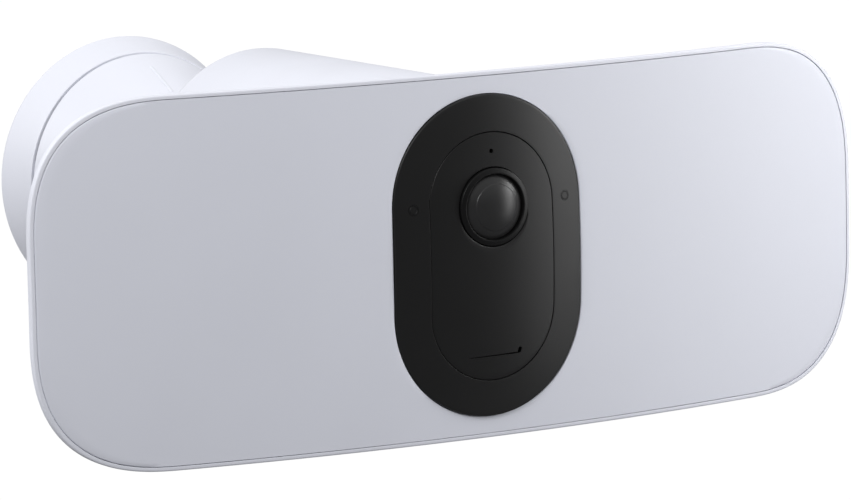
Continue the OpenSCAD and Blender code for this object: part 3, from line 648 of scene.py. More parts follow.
# %% [markdown]
# ## The rear shell
# This is the white tub behind the light cover, with a round neck that the housing slides onto. The
# whole wall is one skin: round the rim, over the curved back, up the neck, down its bore and along the
# inside to the ledge that carries the cover. The back's rings slide from the outline to the neck's
# circle, so there is no seam where a cylinder would have been glued on.

# %% The rear shell
NECK_R, BORE_R, SPIGOT_R = 50.2, 45.0, 46.9
NECK_START, NECK_END, SPIGOT_END = 28.0, 38.0, 45.0
SEAL_START, SEAL_END, SEAL_DEEP = 41.0, 43.0, 1.0
FILLET, INNER_INSET = 1.6, 3.87
outer_line = panel_outline()
shell_rings = []
for inset, depth in soften([(RIM, LEDGE, 0), (RIM, 0, 0.15), (0, 0, 0.85), (0, 2.2, 0)], 6)[:-1]:
    line = panel_outline(inset)
    shell_rings.append(ring_of(line, bow(*line.T) + depth))
foot = circle(NECK_R + FILLET, 0, DRUM_RISE)
for t in np.linspace(0, 1, 34) ** 1.4:
    line = outer_line * (1 - t) + foot * t
    shell_rings.append(ring_of(line, back_depth(*line.T)))
neck = circle(NECK_R, 0, DRUM_RISE)
start, corner_y = back_depth(*foot.T), back_depth(*neck.T)
for t in np.linspace(0, 1, 7)[1:]:
    line = foot * (1 - t) ** 2 + neck * (1 - (1 - t) ** 2)
    depth = start * (1 - t) ** 2 + corner_y * 2 * t * (1 - t) + (corner_y + FILLET) * t * t
    shell_rings.append(ring_of(line, depth))
groove_r = SPIGOT_R - SEAL_DEEP
tube = soften([
    (NECK_R, NECK_START, 0), (NECK_R, NECK_END, 0.5), (SPIGOT_R, NECK_END, 0.2),
    (SPIGOT_R, SEAL_START, 0.1), (groove_r, SEAL_START, 0), (groove_r, SEAL_END, 0),
    (SPIGOT_R, SEAL_END, 0.1), (SPIGOT_R, SPIGOT_END, 0.5), (BORE_R, SPIGOT_END, 0.3),
    (BORE_R, NECK_START, 0),
], 4)
for radius, y in tube:
    shell_rings.append(ring_of(circle(radius, 0, DRUM_RISE), y))
inner_foot = circle(BORE_R, 0, DRUM_RISE)
inner_line = panel_outline(INNER_INSET)
for t in np.linspace(0, 1, 20):
    line = inner_foot * (1 - t) + inner_line * t
    shell_rings.append(ring_of(line, back_depth(*line.T, wall=WALL)))
rear_shell = finish_mesh("rear_shell_body", skin(shell_rings), finishes["shell_white"])

# %% Holes and the boss in the shell
SCREW_PLACES = [(x, z) for x in (-149, 149) for z in (-28, 28)]
SCREW_PLACES += [(x, z) for x in (-66, 66) for z in (-44, 44)]
SCREW_R, SCREW_HEAD_R, SCREW_SEAT = 1.8, 3.6, 17.6
sync_at = panel_at + [(box_mm("sync_button")[0][0] + box_mm("sync_button")[1][0]) / 2, 0, 0]
SYNC_R, SYNC_BOSS_R, SYNC_BOSS_END = 4.3, 7.5, 26.2
PORT_Y, PORT_W, PORT_L, PORT_CORNER, PORT_GAP = 29.0, 14.0, 9.0, 1.6, 0.4


def rounded_box(w, l, radius, cy=0.0, count=40):
    """A small rectangle with round corners, for a hole or a boss."""
    corners = [(w / 2, cy - l / 2, radius), (w / 2, cy + l / 2, radius),
               (-w / 2, cy + l / 2, radius), (-w / 2, cy - l / 2, radius)]
    return soften(corners, count // 4)


boss = soften([
    (ON_AXIS, 18, 0), (SYNC_BOSS_R, 18, 0), (SYNC_BOSS_R, SYNC_BOSS_END, 0.5), (ON_AXIS, SYNC_BOSS_END, 0),
])
carve(rear_shell, [lathed(boss, sync_at, 64)], "UNION")
holes = [rod(SYNC_R, 14, 30, sync_at)]
seat = soften([
    (ON_AXIS, 9, 0), (SCREW_R, 9, 0), (SCREW_R, SCREW_SEAT, 0), (SCREW_HEAD_R, SCREW_SEAT, 0.1),
    (SCREW_HEAD_R, 31, 0), (ON_AXIS, 31, 0),
], 2)
for x, z in SCREW_PLACES:
    holes.append(lathed(seat, panel_at + [x, bow(x, z), z], 48))
opening = rounded_box(PORT_W + PORT_GAP, PORT_L + PORT_GAP, PORT_CORNER, PORT_Y)
holes.append(prism(opening, -52, -37, drum_at, "z"))
carve(rear_shell, holes)
settle(rear_shell, "light_head", "shell_white", "rear_shell")

# %% [markdown]
# ## The light cover
# The grey cover is a bowed sheet with a pill-shaped hole. Its rings run from the outline to the hole,
# so the mesh flows like the real moulding, and the front follows the same bow as the shell's rim. A
# narrow gap is left at both edges, which reads as the thin dark seam. Posts behind take the screws.

# %% The light cover
PILL_W, PILL_H = 40.0, 59.7
outer_cover = panel_outline(RIM + SEAM)
hole = pill(PILL_W + SEAM, PILL_H + SEAM)
EDGE = 0.35
CURL = np.array([0.15, 0.35, 0.6, 1])


def cover_ring(t, depth):
    line = outer_cover * (1 - t) + hole * t
    return ring_of(line, bow(*line.T) + depth)


span = np.hypot(*(outer_cover - hole).T).mean()
small = EDGE / span
section = [(0, 1.0), (0, EDGE)] + [(small * c, EDGE * (1 - c) ** 2) for c in CURL]
section += [(t, 0) for t in np.linspace(0, 1, 30)[1:-1]]
section += [(1 - small * c, EDGE * (1 - c) ** 2) for c in CURL[::-1]] + [(1, EDGE), (1, COVER)]
section += [(t, COVER) for t in np.linspace(1, 0, 12)[1:]]
cover_skin = skin([cover_ring(t, depth) for t, depth in section])
cover = finish_mesh("light_cover_sheet", cover_skin, finishes["cover_grey"])
POST_R, POST_BORE, POST_END = 4.0, 1.5, 13.6
post = soften([
    (POST_BORE, 5, 0), (POST_BORE, POST_END, 0.2), (POST_R, POST_END, 0.4), (POST_R, 1.4, 0),
    (ON_AXIS, 1.4, 0), (ON_AXIS, 5, 0),
])
carve(cover, [lathed(post, panel_at + [x, bow(x, z), z], 40) for x, z in SCREW_PLACES], "UNION")
settle(cover, "light_head", "cover_grey", "light_cover")

# %% [markdown]
# ## The black pill
# The camera's front is a domed pill in two pieces: a wide bezel, and a face inside it behind a hairline
# groove. Both are cut from the same dome, which bulges more across than up, so a soft light drawn along
# it makes one upright band of sheen.

# %% The bezel
DOME_X, DOME_Z, PILL_RISE = 160.0, 371.0, 4.5
FACE_W, FACE_H = 26.3, 45.9
LENS_Z, WINDOW_Z, WINDOW_X, MIC_Z, SLIT_Z = 18.5, 19.7, 32.5, 39.0, -36.7


def dome(x, z):
    return barrel(x, z, DOME_X, DOME_Z) - PILL_RISE


def bezel_ring(inset, depth):
    line = pill(PILL_W - inset, PILL_H - inset)
    return ring_of(line, dome(*line.T) + depth)


GROOVE, BEZEL_WALL, BEZEL_DEEP, BEZEL_SKIN = 0.1, 2.4, 7.6, 3.2
BAND = PILL_W - FACE_W - GROOVE
corners = [(0, BEZEL_DEEP, 0.2), (0, 0, 0.8)] + [(i, 0, 0) for i in np.linspace(1.5, BAND - 1, 12)]
corners += [
    (BAND, 0, 0.18), (BAND, BEZEL_DEEP, 0.2), (BAND - BEZEL_WALL, BEZEL_DEEP, 0.2),
    (BAND - BEZEL_WALL, BEZEL_SKIN, 0), (BEZEL_WALL, BEZEL_SKIN, 0), (BEZEL_WALL, BEZEL_DEEP, 0.2),
]
bezel_skin = skin([bezel_ring(inset, depth) for inset, depth in soften(corners, 5)])
bezel = finish_mesh("camera_bezel_frame", bezel_skin, finishes["bezel_black"])
WINDOW_HOLE_R = 1.95
recess = [(ON_AXIS, -6), (WINDOW_HOLE_R, -6), (WINDOW_HOLE_R, 9), (ON_AXIS, 9)]
carve(bezel, [lathed(recess, panel_at + [side * WINDOW_X, 0, WINDOW_Z], 48) for side in (-1, 1)])
settle(bezel, "light_head", "bezel_black", "camera_bezel")

# %% [markdown]
# ## The face, its slit and its microphone hole
# The face runs from its pill outline to the lens's round opening. The sound slit is a hairline that
# widens to the right and ends in a round sound port, and the microphone hears through a pinhole.

# %% The face
LENS_HOLE = 14.75
face_line, lens_line = pill(FACE_W - GROOVE, FACE_H - GROOVE), circle(LENS_HOLE, 0, LENS_Z)


def face_ring(t, depth):
    line = face_line * (1 - t) + lens_line * t
    return ring_of(line, dome(*line.T) + depth)


near, lip = 0.01, 0.18
FACE_DEEP, FACE_SKIN, FACE_RIM = 7.4, 3.2, 0.12
CUT_FROM, SLIT_DEEP, PORT_DEEP, MIC_R = -8, 2.2, 2.4, 0.85
section = [(0, FACE_DEEP), (0, lip)] + [(near * c, lip * (1 - c) ** 2) for c in (0.15, 0.4, 1)]
section += [(t, 0) for t in np.linspace(near, 1 - near, 26)[1:-1]]
section += [(1 - near * c, lip * (1 - c) ** 2) for c in (1, 0.4, 0.15)] + [(1, lip), (1, FACE_SKIN)]
section += [(t, FACE_SKIN) for t in np.linspace(1, FACE_RIM, 8)[1:]] + [(FACE_RIM, FACE_DEEP)]
face_skin = skin([face_ring(t, depth) for t, depth in section])
face = finish_mesh("camera_face_plate", face_skin, finishes["face_black"])
slit = np.array([(-10.6, -0.22), (10.4, -0.12), (10.4, 0.42), (-10.6, 0.02)]) + [0, SLIT_Z]
port = soften([(9.7, -0.15, 0.8), (11.3, -0.1, 0.8), (11.7, 2.2, 0.8), (10.1, 2.2, 0.8)], 5) + [0, SLIT_Z]
carve(face, [
    prism(slit, CUT_FROM, SLIT_DEEP, panel_at), rod(MIC_R, CUT_FROM, 9, panel_at + [0, 0, MIC_Z], 32),
])
carve(face, [prism(port, CUT_FROM, PORT_DEEP, panel_at)])
settle(face, "light_head", "face_black", "camera_face")

# %% [markdown]
# ## The lens group
# A stepped ring stands in the face and holds a smoked dome. Under the dome sits the real lens: a barrel
# with fine steps against stray light, and a bulging front element. All are turned shapes, so each is
# one section spun round the lens's axis.

# %% Ring, dome, barrel and front element
lens_at = panel_at + [0, 0, LENS_Z]
ring_section = [
    (14.4, 8.3, 0.2), (14.4, -4.3, 0.3), (12.7, -4.75, 0.2), (12.3, -4.7, 0.15), (12.05, -3.1, 0.1),
    (10.2, -3.0, 0.1), (10.2, 8.3, 0.2),
]
ring = finish_mesh("lens_ring_stepped", lathed(soften(ring_section), lens_at), finishes["lens_black"])
settle(ring, "light_head", "lens_black", "lens_ring")


CLEAR_SHARE, STEP_DEEP, ARC_STEPS = 0.74, 0.12, 28


def cap_section(radius, front, rim, thickness):
    """A glass cap: two arcs of a sphere, with a hairline step round the clear middle."""
    def arc(r, start, end, sink):
        return [(max(r * math.sin(a), 0.001), front + radius - r * math.cos(a) + sink)
                for a in np.linspace(start, end, ARC_STEPS)]

    step_at, end = math.asin(CLEAR_SHARE * rim / radius), math.asin(rim / radius)
    inside = radius - thickness
    outer = arc(radius, 0, step_at, 0) + arc(radius, step_at + 0.003, end, STEP_DEEP)
    return outer + arc(inside, math.asin((rim - 0.05) / inside), 0, 0)


GLASS_R, GLASS_RIM, GLASS_THICK, GLASS_SHARP = 20, 11.7, 1.2, 50
glass_skin = lathed(cap_section(GLASS_R, -DOME_RISE, GLASS_RIM, GLASS_THICK), lens_at, 128)
glass = finish_mesh("lens_dome_glass", glass_skin, finishes["lens_glass"], GLASS_SHARP)
settle(glass, "light_head", "lens_glass", "lens_dome")
barrel_section = [
    (7.4, 6, 0.1), (7.4, -1, 0.5), (6.6, -1, 0.2), (6.2, -0.4, 0.1), (5.6, -0.4, 0.1), (5.2, 0.4, 0.1),
    (4.6, 0.4, 0), (4.2, 1.2, 0), (3.2, 1.6, 0), (3.2, 11, 0), (9, 13, 0.3), (9, 6, 0.3),
]
core = finish_mesh("lens_barrel_tube", lathed(soften(barrel_section, 3), lens_at, 96), finishes["lens_black"])
settle(core, "light_head", "lens_black", "lens_barrel")
BEAD_R, BEAD_FRONT, BEAD_BULGE, BEAD_BACK = 4.4, 0.2, 1.4, 2.0
element = [(0.001, BEAD_FRONT)]
for a in np.linspace(0.1, 1.5, 12):
    element.append((BEAD_R * math.sin(a), BEAD_FRONT + BEAD_BULGE * (1 - math.cos(a))))
element += [(BEAD_R, BEAD_BACK), (0.001, BEAD_BACK)]
bead = finish_mesh("lens_front_element", lathed(element, lens_at, 64), finishes["lens_glass"])
settle(bead, "light_head", "lens_glass")

# %% The two side windows
WINDOW_SECTION = [
    (0.001, 0.03), (1.25, 0.05), (1.38, 0.2), (1.52, 0.05), (1.8, 0.06), (1.85, 0.2), (1.85, 4), (0.001, 4),
]


def window(side):
    """A tiny window that follows the pill's dome, with a groove around its middle."""
    rings = []
    for radius, sink in WINDOW_SECTION:
        line = circle(radius, side * WINDOW_X, WINDOW_Z, 48)
        rings.append(ring_of(line, dome(*line.T) + sink))
    return skin(rings)


windows = finish_mesh("side_window_pair", merged([window(-1), window(1)]), finishes["window_dark"])
settle(windows, "light_head", "window_dark", "side_windows")

# %% [markdown]
# ## The battery housing
# A deep round can slides over the neck. Its open end has a small lead-in, its closed end a generous
# round edge and a shallow dish, and a slot underneath lets the release button through.

# %% The housing
HOUSING_R, HOUSING_BORE, HOUSING_START, HOUSING_END = drum_high[0], 47.6, 38.4, 172.5
DISH_BOTTOM, END_INSIDE = HOUSING_END - 0.5, HOUSING_END - 2.5
can = soften([
    (HOUSING_R, HOUSING_START, 0.5), (HOUSING_R, 100, 0), (HOUSING_R, HOUSING_END, 2.2),
    (46, HOUSING_END, 0.2), (45.2, DISH_BOTTOM, 0.2), (24, DISH_BOTTOM, 0.2), (23, HOUSING_END, 0.2),
    (0.001, HOUSING_END, 0), (0.001, END_INSIDE, 0), (HOUSING_BORE, END_INSIDE, 1.0),
    (HOUSING_BORE, HOUSING_START, 0.3),
], 6)
housing = finish_mesh("battery_housing_can", lathed(can, drum_at, 256), finishes["shell_white"])
BUTTON_Y, BUTTON_W, BUTTON_L = 62.0, 13.4, 7.4
GAP, FORK_PITCH_R, FORK_HOLE_R = 0.3, 15.5, 2.1
slot_w, slot_l = BUTTON_W + 2 * GAP, BUTTON_L + 2 * GAP
cuts = [prism(rounded_box(slot_w, slot_l, slot_l / 2, BUTTON_Y, 64), -52, -44, drum_at, "z")]
yoke_places = ring_places(FORK_PITCH_R, front_y, 0, centre=swivel_at)
cuts += [rod(FORK_HOLE_R, 165, 175, place_at, 24) for place_at in yoke_places]
carve(housing, cuts)
settle(housing, "housing", "shell_white", "battery_housing")

# %% [markdown]
# ## The wall mount
# A fixed ring sits on the wall, and a cone locks into it with a twist. The narrow groove between them
# shows as a dark line. A slim rib along the cone's top marks the locked position, with a small dimple
# in front of it.

# %% The base ring
wall = np.zeros(3)
BASE_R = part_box("mount_base")[1].x / MM
BASE_BORE, LIP_R, FLOOR_R, FRONT_Y = 50, 47.9, 40, -16.5
RING_SCREW_R, RING_PITCH_R, TWIST = 1.6, 44, 32
base = soften([
    (BASE_BORE, 0, 0), (51.4, 0, 0), (51.4, -2, 0), (55.2, -2, 0), (55.2, 0, 0),
    (BASE_R - 0.4, 0, 0.2), (BASE_R, -0.9, 0.6), (51.4, FRONT_Y + 0.5, 0.4), (51.0, FRONT_Y, 0.1),
    (LIP_R, FRONT_Y, 0.2), (LIP_R, -12.5, 0), (BASE_BORE, -12.5, 0), (BASE_BORE, -5, 0),
    (FLOOR_R, -5, 0.3), (FLOOR_R, -2.2, 0.2), (BASE_BORE, -2.2, 0),
], 5)
base_ring = finish_mesh("mount_base_ring", lathed(base, wall, 256), finishes["shell_white"])
gaps = []
for k in range(3):
    notch = arc_strip(math.radians(120 * k - TWIST), BASE_BORE - 0.01, 44, 0.28, 9)
    gaps.append(prism(notch, -17, -11, wall))
ring_screws_at = ring_places(RING_PITCH_R, 0, 30, 3)
gaps += [rod(RING_SCREW_R, -6, 0, place_at, 24) for place_at in ring_screws_at]
gaps.append(prism(circle(2.1, 0, -9.5, 32), -60, -48, wall, "z"))
carve(base_ring, gaps)
settle(base_ring, "wall_mount", "shell_white", "mount_base")

# %% The steel bracket against the wall
BRACKET_R, BRACKET_T = 49.6, 2.0
SLOT_L, SLOT_W, SLOT_X, WALL_HOLE_R, WALL_PITCH_R = 14.6, 4.8, 39.7, 2.6, 30
plate = soften([
    (0.001, -BRACKET_T, 0), (BRACKET_R, -BRACKET_T, 0.3), (BRACKET_R, 0, 0.3), (0.001, 0, 0),
])
bracket = finish_mesh("wall_bracket_plate", lathed(plate, wall, 192), finishes["bracket_steel"])
screw_slot = rounded_box(SLOT_L, SLOT_W, SLOT_W / 2)
openings = [prism(screw_slot + [side * SLOT_X, 0], -3, 1, wall) for side in (-1, 1)]
openings += [rod(WALL_HOLE_R, -3, 1, place_at, 32) for place_at in ring_places(WALL_PITCH_R, 0, 45)]
openings += [rod(RING_SCREW_R, -3, 1, place_at, 24) for place_at in ring_screws_at]
carve(bracket, openings)
settle(bracket, "wall_mount", "bracket_steel", "wall_bracket")

# %% The cone with its rib and dimple
CONE_R, CONE_START, CONE_TIP_R, CONE_END = 50.6, 17.5, 28.3, 61.5
SLEEVE_R, SLEEVE_BORE, SLEEVE_END, CONE_INSIDE = 47.4, 45, -7.8, -58.5
cone = soften([
    (SLEEVE_BORE, SLEEVE_END, 0.2), (SLEEVE_R, SLEEVE_END, 0.3), (SLEEVE_R, -CONE_START, 0.1),
    (CONE_R - 0.3, -CONE_START, 0.1), (CONE_R, -CONE_START - 0.35, 0.25),
    (CONE_TIP_R + 0.2, -CONE_END + 0.2, 2.4), (26, -CONE_END, 0), (0.001, -CONE_END, 0),
    (0.001, CONE_INSIDE, 0), (25.5, CONE_INSIDE, 0.6), (SLEEVE_BORE, -20.5, 0),
], 6)
cap = finish_mesh("mount_cap_cone", lathed(cone, wall, 256), finishes["shell_white"])
slope = math.atan((CONE_R - CONE_TIP_R) / (CONE_END - CONE_START))


def cone_height(y):
    """Radius of the cone at a distance y from the wall."""
    return CONE_R - (y - CONE_START) * math.tan(slope)


def rib_rings(start, end, half_width, height):
    """A slim rounded ridge that lies along the top of the cone."""
    rings, steps = [], 32
    for lift, narrow in ((-1.2, 1.0), (height * 0.5, 1.0), (height * 0.85, 0.8), (height, 0.45)):
        ring = []
        for k in range(steps):
            a = 2 * math.pi * k / steps
            end_at = end - half_width if math.cos(a) > 0 else start + half_width
            y = end_at + half_width * narrow * math.cos(a)
            ring.append((half_width * narrow * math.sin(a), -y, cone_height(y) + lift))
        rings.append(ring)
    return rings


LUG_R, LUG_FOOT_R, RIB_START, RIB_END, RIB_HALF_W, RIB_RISE = 49.4, 46.5, 26.3, 44.2, 0.7, 0.5
DIMPLE_R, DIMPLE_Y = 0.6, 46.2
lug_strips = [arc_strip(math.radians(120 * k), LUG_R, LUG_FOOT_R, 0.2, 7) for k in range(3)]
lugs = [prism(strip, -11.8, -8.3, wall) for strip in lug_strips]
rib = skin(rib_rings(RIB_START, RIB_END, RIB_HALF_W, RIB_RISE), closed=False, caps=True)
carve(cap, [rib, *lugs], "UNION")
dimple = rod(DIMPLE_R, -1.0, 1.5, wall, 24)
bmesh.ops.transform(dimple, matrix=Matrix.Rotation(math.pi / 2 - slope, 4, "X"), verts=dimple.verts)
dimple_at = Vector((0, -DIMPLE_Y, cone_height(DIMPLE_Y))) * MM
bmesh.ops.translate(dimple, vec=dimple_at, verts=dimple.verts)
fork_places = ring_places(FORK_PITCH_R, 0, 45)
carve(cap, [dimple] + [rod(FORK_HOLE_R, -63, -56, place_at, 24) for place_at in fork_places])
settle(cap, "mount_arm", "shell_white", "mount_cap")

# %% [markdown]
# ## Small parts with softened edges
# The swivel's castings, the bolts and the buttons already have the right shape, but perfectly sharp
# edges. A copy of each solid is merged and cleaned into flat faces, and a Bevel modifier breaks its
# edges by a few tenths of a millimetre, which is what catches the light on a real part.

# %% Softened copies of the solids
FLAT_WITHIN, BEVEL_OVER, SOFT_SHARP, BEVEL_STEPS = 1.5, 32, 40, 3


def softened(node, body, slot, width):
    """A copy of a CAD solid with its triangles merged into faces and its edges rounded."""
    mesh_data = bmesh.new()
    mesh_data.from_mesh(frame["nodes"][node].data)
    bmesh.ops.remove_doubles(mesh_data, verts=mesh_data.verts, dist=2e-6)
    flat = math.radians(FLAT_WITHIN)
    bmesh.ops.dissolve_limit(mesh_data, angle_limit=flat, verts=mesh_data.verts, edges=mesh_data.edges)
    piece = add_object(node + "_soft", free_into(mesh_data, node + "_soft"))
    piece.data.materials.append(finishes[slot])
    edge = piece.modifiers.new("edges", "BEVEL")
    edge.width, edge.segments = width * MM, BEVEL_STEPS
    edge.limit_method, edge.angle_limit = "ANGLE", math.radians(BEVEL_OVER)
    edge.use_clamp_overlap = True
    settle(apply_all(piece, SOFT_SHARP), body, slot, node)


for node, body, slot, width in (
    ("wall_gasket", "wall_mount", "rubber_black", 0.4),
    ("security_screw", "wall_mount", "screw_steel", 0.2),
    ("tilt_fork", "mount_arm", "cast_alloy", 0.6),
    ("swivel_ball", "swivel", "button_white", 0.5),
    ("tilt_bolt", "swivel", "screw_steel", 0.4),
    ("tilt_nut", "swivel", "screw_steel", 0.3),
    ("pan_pins", "swivel", "screw_steel", 0.4),
    ("tilt_washers", "swivel", "contact_brass", 0.15),
    ("pan_washers", "swivel", "contact_brass", 0.15),
    ("pan_yoke", "housing", "cast_alloy", 0.6),
    ("release_button", "release_button", "button_white", 0.25),
    ("port_cover", "port_cover", "rubber_black", 0.35),
    ("charge_port", "light_head", "frame_black", 0.25),
    ("sync_button", "sync_button", "button_white", 0.3),
    ("button_guide", "housing", "frame_black", 0.3),
    ("battery_pack", "light_head", "battery_grey", 0.8),
    ("battery_cradle", "light_head", "frame_black", 0.3),
):
    softened(node, body, slot, width)

# %% [markdown]
# ## Screws, lamps and cooling ribs
# What repeats is made with Geometry Nodes. One tree draws a button-head screw from named sizes and sets
# it on every point of a mesh, a second lays out lamps in rows and columns, and a third stands ribs on a
# plate. Each tree ends by making its copies real.

# %% The screw tree
GEOMETRY, MATERIAL, WHOLE = "NodeSocketGeometry", "NodeSocketMaterial", "NodeSocketInt"


def transformed(tree, geometry, **change):
    """A shape moved, turned or scaled inside a tree."""
    inputs = {"Geometry": geometry, **{key.title(): value for key, value in change.items()}}
    return place(tree, "GeometryNodeTransform", inputs).outputs[0]


def tube_node(tree, vertices, radius, depth, shift):
    """A cylinder along z, moved up by shift."""
    sizes = {"Vertices": vertices, "Radius": radius, "Depth": depth}
    solid = place(tree, "GeometryNodeMeshCylinder", sizes).outputs["Mesh"]
    offset = place(tree, "ShaderNodeCombineXYZ", {"Z": shift}).outputs[0]
    return transformed(tree, solid, translation=offset)


def joined(tree, operation, *shapes, base=None):
    """A Boolean of shapes: a base less the shapes, or the shapes together."""
    inputs = {"Mesh 2": list(shapes)}
    if base is not None:
        inputs["Mesh 1"] = base
    return place(tree, "GeometryNodeMeshBoolean", inputs, operation=operation).outputs[0]


def hand_out(tree, geometry, finish, socket):
    """Makes the copies real, gives them their finish and sends them out of the tree."""
    real = place(tree, "GeometryNodeRealizeInstances", {"Geometry": geometry})
    coloured = place(tree, "GeometryNodeSetMaterial", {"Geometry": real.outputs[0], "Material": finish})
    tree.links.new(coloured.outputs[0], socket)


def make_screw_tree():
    tree, given, out = new_group("button_head_screws", {
        "Points": (GEOMETRY, None), "Head Radius": (FLOAT, 0.003), "Head Height": (FLOAT, 0.002),
        "Shank Radius": (FLOAT, 0.0015), "Length": (FLOAT, 0.006), "Drive Radius": (FLOAT, 0.0013),
        "Turn": (VECTOR, None), "Finish": (MATERIAL, None),
    }, {"Screws": GEOMETRY}, "GeometryNodeTree")
    g = given.outputs
    head_scale = place(tree, "ShaderNodeCombineXYZ", {
        "X": g["Head Radius"], "Y": g["Head Radius"], "Z": g["Head Height"],
    }).outputs[0]
    ball = place(tree, "GeometryNodeMeshUVSphere", {"Segments": 28, "Rings": 16, "Radius": 1.0})
    bulge = transformed(tree, ball.outputs["Mesh"], scale=head_scale)
    half = math_node(tree, "MULTIPLY", g["Head Height"], 0.5)
    keep = tube_node(tree, 28, g["Head Radius"], g["Head Height"], half)
    head = joined(tree, "INTERSECT", bulge, keep)
    sunk = math_node(tree, "MULTIPLY", g["Length"], -0.49)
    shank = tube_node(tree, 16, g["Shank Radius"], g["Length"], sunk)
    drive = tube_node(tree, 6, g["Drive Radius"], g["Head Height"], g["Head Height"])
    screw = joined(tree, "DIFFERENCE", drive, base=joined(tree, "UNION", head, shank))
    turn = place(tree, "FunctionNodeEulerToRotation", {0: g["Turn"]}).outputs[0]
    placed = place(tree, "GeometryNodeInstanceOnPoints", {
        "Points": g["Points"], "Instance": screw, "Rotation": turn,
    })
    hand_out(tree, placed.outputs[0], g["Finish"], out.inputs["Screws"])
    return tree


def grow(name, tree, points, values):
    """Runs a tree on a mesh of loose points and keeps the result as a plain mesh."""
    mesh = bpy.data.meshes.new(name + "_points")
    mesh.from_pydata([tuple(np.array(p) * MM) for p in points], [], [])
    piece = add_object(name, mesh)
    grower = piece.modifiers.new("grow", "NODES")
    grower.node_group = tree
    sockets = {item.name: item.identifier for item in tree.interface.items_tree
               if item.item_type == "SOCKET" and item.in_out == "INPUT"}
    for label, value in values.items():
        grower[sockets[label]] = value
    return apply_all(piece)


SCREWS = make_screw_tree()
QUARTER = math.pi / 2


def screws(name, body, node, points, head, height, shank, length, drive, tilt):
    """A set of screws. tilt turns their heads from +z: minus a quarter looks along +y."""
    piece = grow(name, SCREWS, points, {
        "Head Radius": head * MM, "Head Height": height * MM, "Shank Radius": shank * MM,
        "Length": length * MM, "Drive Radius": drive * MM, "Turn": (tilt, 0.0, 0.0),
        "Finish": finishes["screw_steel"],
    })
    return settle(piece, body, "screw_steel", node)


fork_y = box_mm("fork_screws")[1][1] - 2.4
yoke_y = box_mm("yoke_screws")[0][1] + 2.4
bracket_y = box_mm("bracket_screws")[0][1] + 1.6
bezel_y = box_mm("bezel_screws")[1][1] - 1.2
BEZEL_SCREW_X, BEZEL_SCREW_IN = 9, 5.5
shell_places = [panel_at + [x, bow(x, z) + SCREW_SEAT + 0.05, z] for x, z in SCREW_PLACES]
bezel_places = [(s * BEZEL_SCREW_X, bezel_y, panel_at[2] + t * (PILL_H - BEZEL_SCREW_IN))
                for s in (-1, 1) for t in (-1, 1)]
screws("shell_screw_set", "light_head", "shell_screws", shell_places,
       head=3.2, height=1.2, shank=1.5, length=11, drive=1.4, tilt=-QUARTER)
screws("fork_screw_set", "mount_arm", "fork_screws", ring_places(FORK_PITCH_R, fork_y, 45),
       head=3, height=2.3, shank=1.5, length=6, drive=1.3, tilt=-QUARTER)
screws("yoke_screw_set", "housing", "yoke_screws", ring_places(FORK_PITCH_R, yoke_y, 0, centre=swivel_at),
       head=3, height=2.3, shank=1.5, length=5.5, drive=1.3, tilt=QUARTER)
screws("bracket_screw_set", "wall_mount", "bracket_screws", ring_places(RING_PITCH_R, bracket_y, 30, 3),
       head=2.8, height=1.5, shank=1.55, length=4.6, drive=1.2, tilt=QUARTER)
screws("bezel_screw_set", "light_head", "bezel_screws", bezel_places,
       head=2.2, height=1.1, shank=1.0, length=3.8, drive=0.9, tilt=-QUARTER)

# %% The lamp and rib trees
def make_grid_tree(name, dome_share):
    """Copies of a small block in rows and columns, standing on one point and turned about z."""
    tree, given, out = new_group(name, {
        "Points": (GEOMETRY, None), "Columns": (WHOLE, 7), "Rows": (WHOLE, 6), "Pitch X": (FLOAT, 0.0125),
        "Pitch Z": (FLOAT, 0.0125), "Size": (VECTOR, None), "Turn": (FLOAT, 0.0), "Finish": (MATERIAL, None),
    }, {"Blocks": GEOMETRY}, "GeometryNodeTree")
    g = given.outputs
    wide = math_node(tree, "MULTIPLY", math_node(tree, "SUBTRACT", g["Columns"], 1.0), g["Pitch X"])
    high = math_node(tree, "MULTIPLY", math_node(tree, "SUBTRACT", g["Rows"], 1.0), g["Pitch Z"])
    grid = place(tree, "GeometryNodeMeshGrid", {
        "Size X": wide, "Size Y": high, "Vertices X": g["Columns"], "Vertices Y": g["Rows"],
    })
    upright_grid = transformed(tree, grid.outputs["Mesh"], rotation=(QUARTER, 0, 0))
    shape = place(tree, "GeometryNodeMeshCube", {
        "Size": g["Size"], "Vertices X": 3, "Vertices Y": 3, "Vertices Z": 3,
    }).outputs["Mesh"]
    if dome_share:
        lamp = place(tree, "GeometryNodeMeshUVSphere", {"Segments": 12, "Rings": 8, "Radius": 1.0})
        share = place(tree, "ShaderNodeVectorMath", {
            0: g["Size"], 1: (dome_share, 0.62, dome_share),
        }, operation="MULTIPLY")
        shape = joined(tree, "UNION", shape, transformed(tree, lamp.outputs["Mesh"], scale=share.outputs[0]))
    row = place(tree, "GeometryNodeInstanceOnPoints", {"Points": upright_grid, "Instance": shape})
    spin = place(tree, "ShaderNodeCombineXYZ", {"Z": g["Turn"]})
    spin_turn = place(tree, "FunctionNodeEulerToRotation", {0: spin.outputs[0]})
    whole = place(tree, "GeometryNodeInstanceOnPoints", {
        "Points": g["Points"], "Instance": row.outputs[0], "Rotation": spin_turn.outputs[0],
    })
    hand_out(tree, whole.outputs[0], g["Finish"], out.inputs["Blocks"])
    return tree


LAMPS, RIBS = make_grid_tree("lamp_grid", 0.36), make_grid_tree("rib_row", 0)
BOARD_X, BOARD_DEPTH = 102.0, 6.5
board_turn = math.asin(BOARD_X / BOW_X)


def on_board(side, offset):
    """A point in the middle of a light board, offset along the board's own depth."""
    across = BOARD_X - math.sin(board_turn) * offset
    depth = bow(BOARD_X, 0) + BOARD_DEPTH + math.cos(board_turn) * offset
    return panel_at + [side * across, depth, 0]


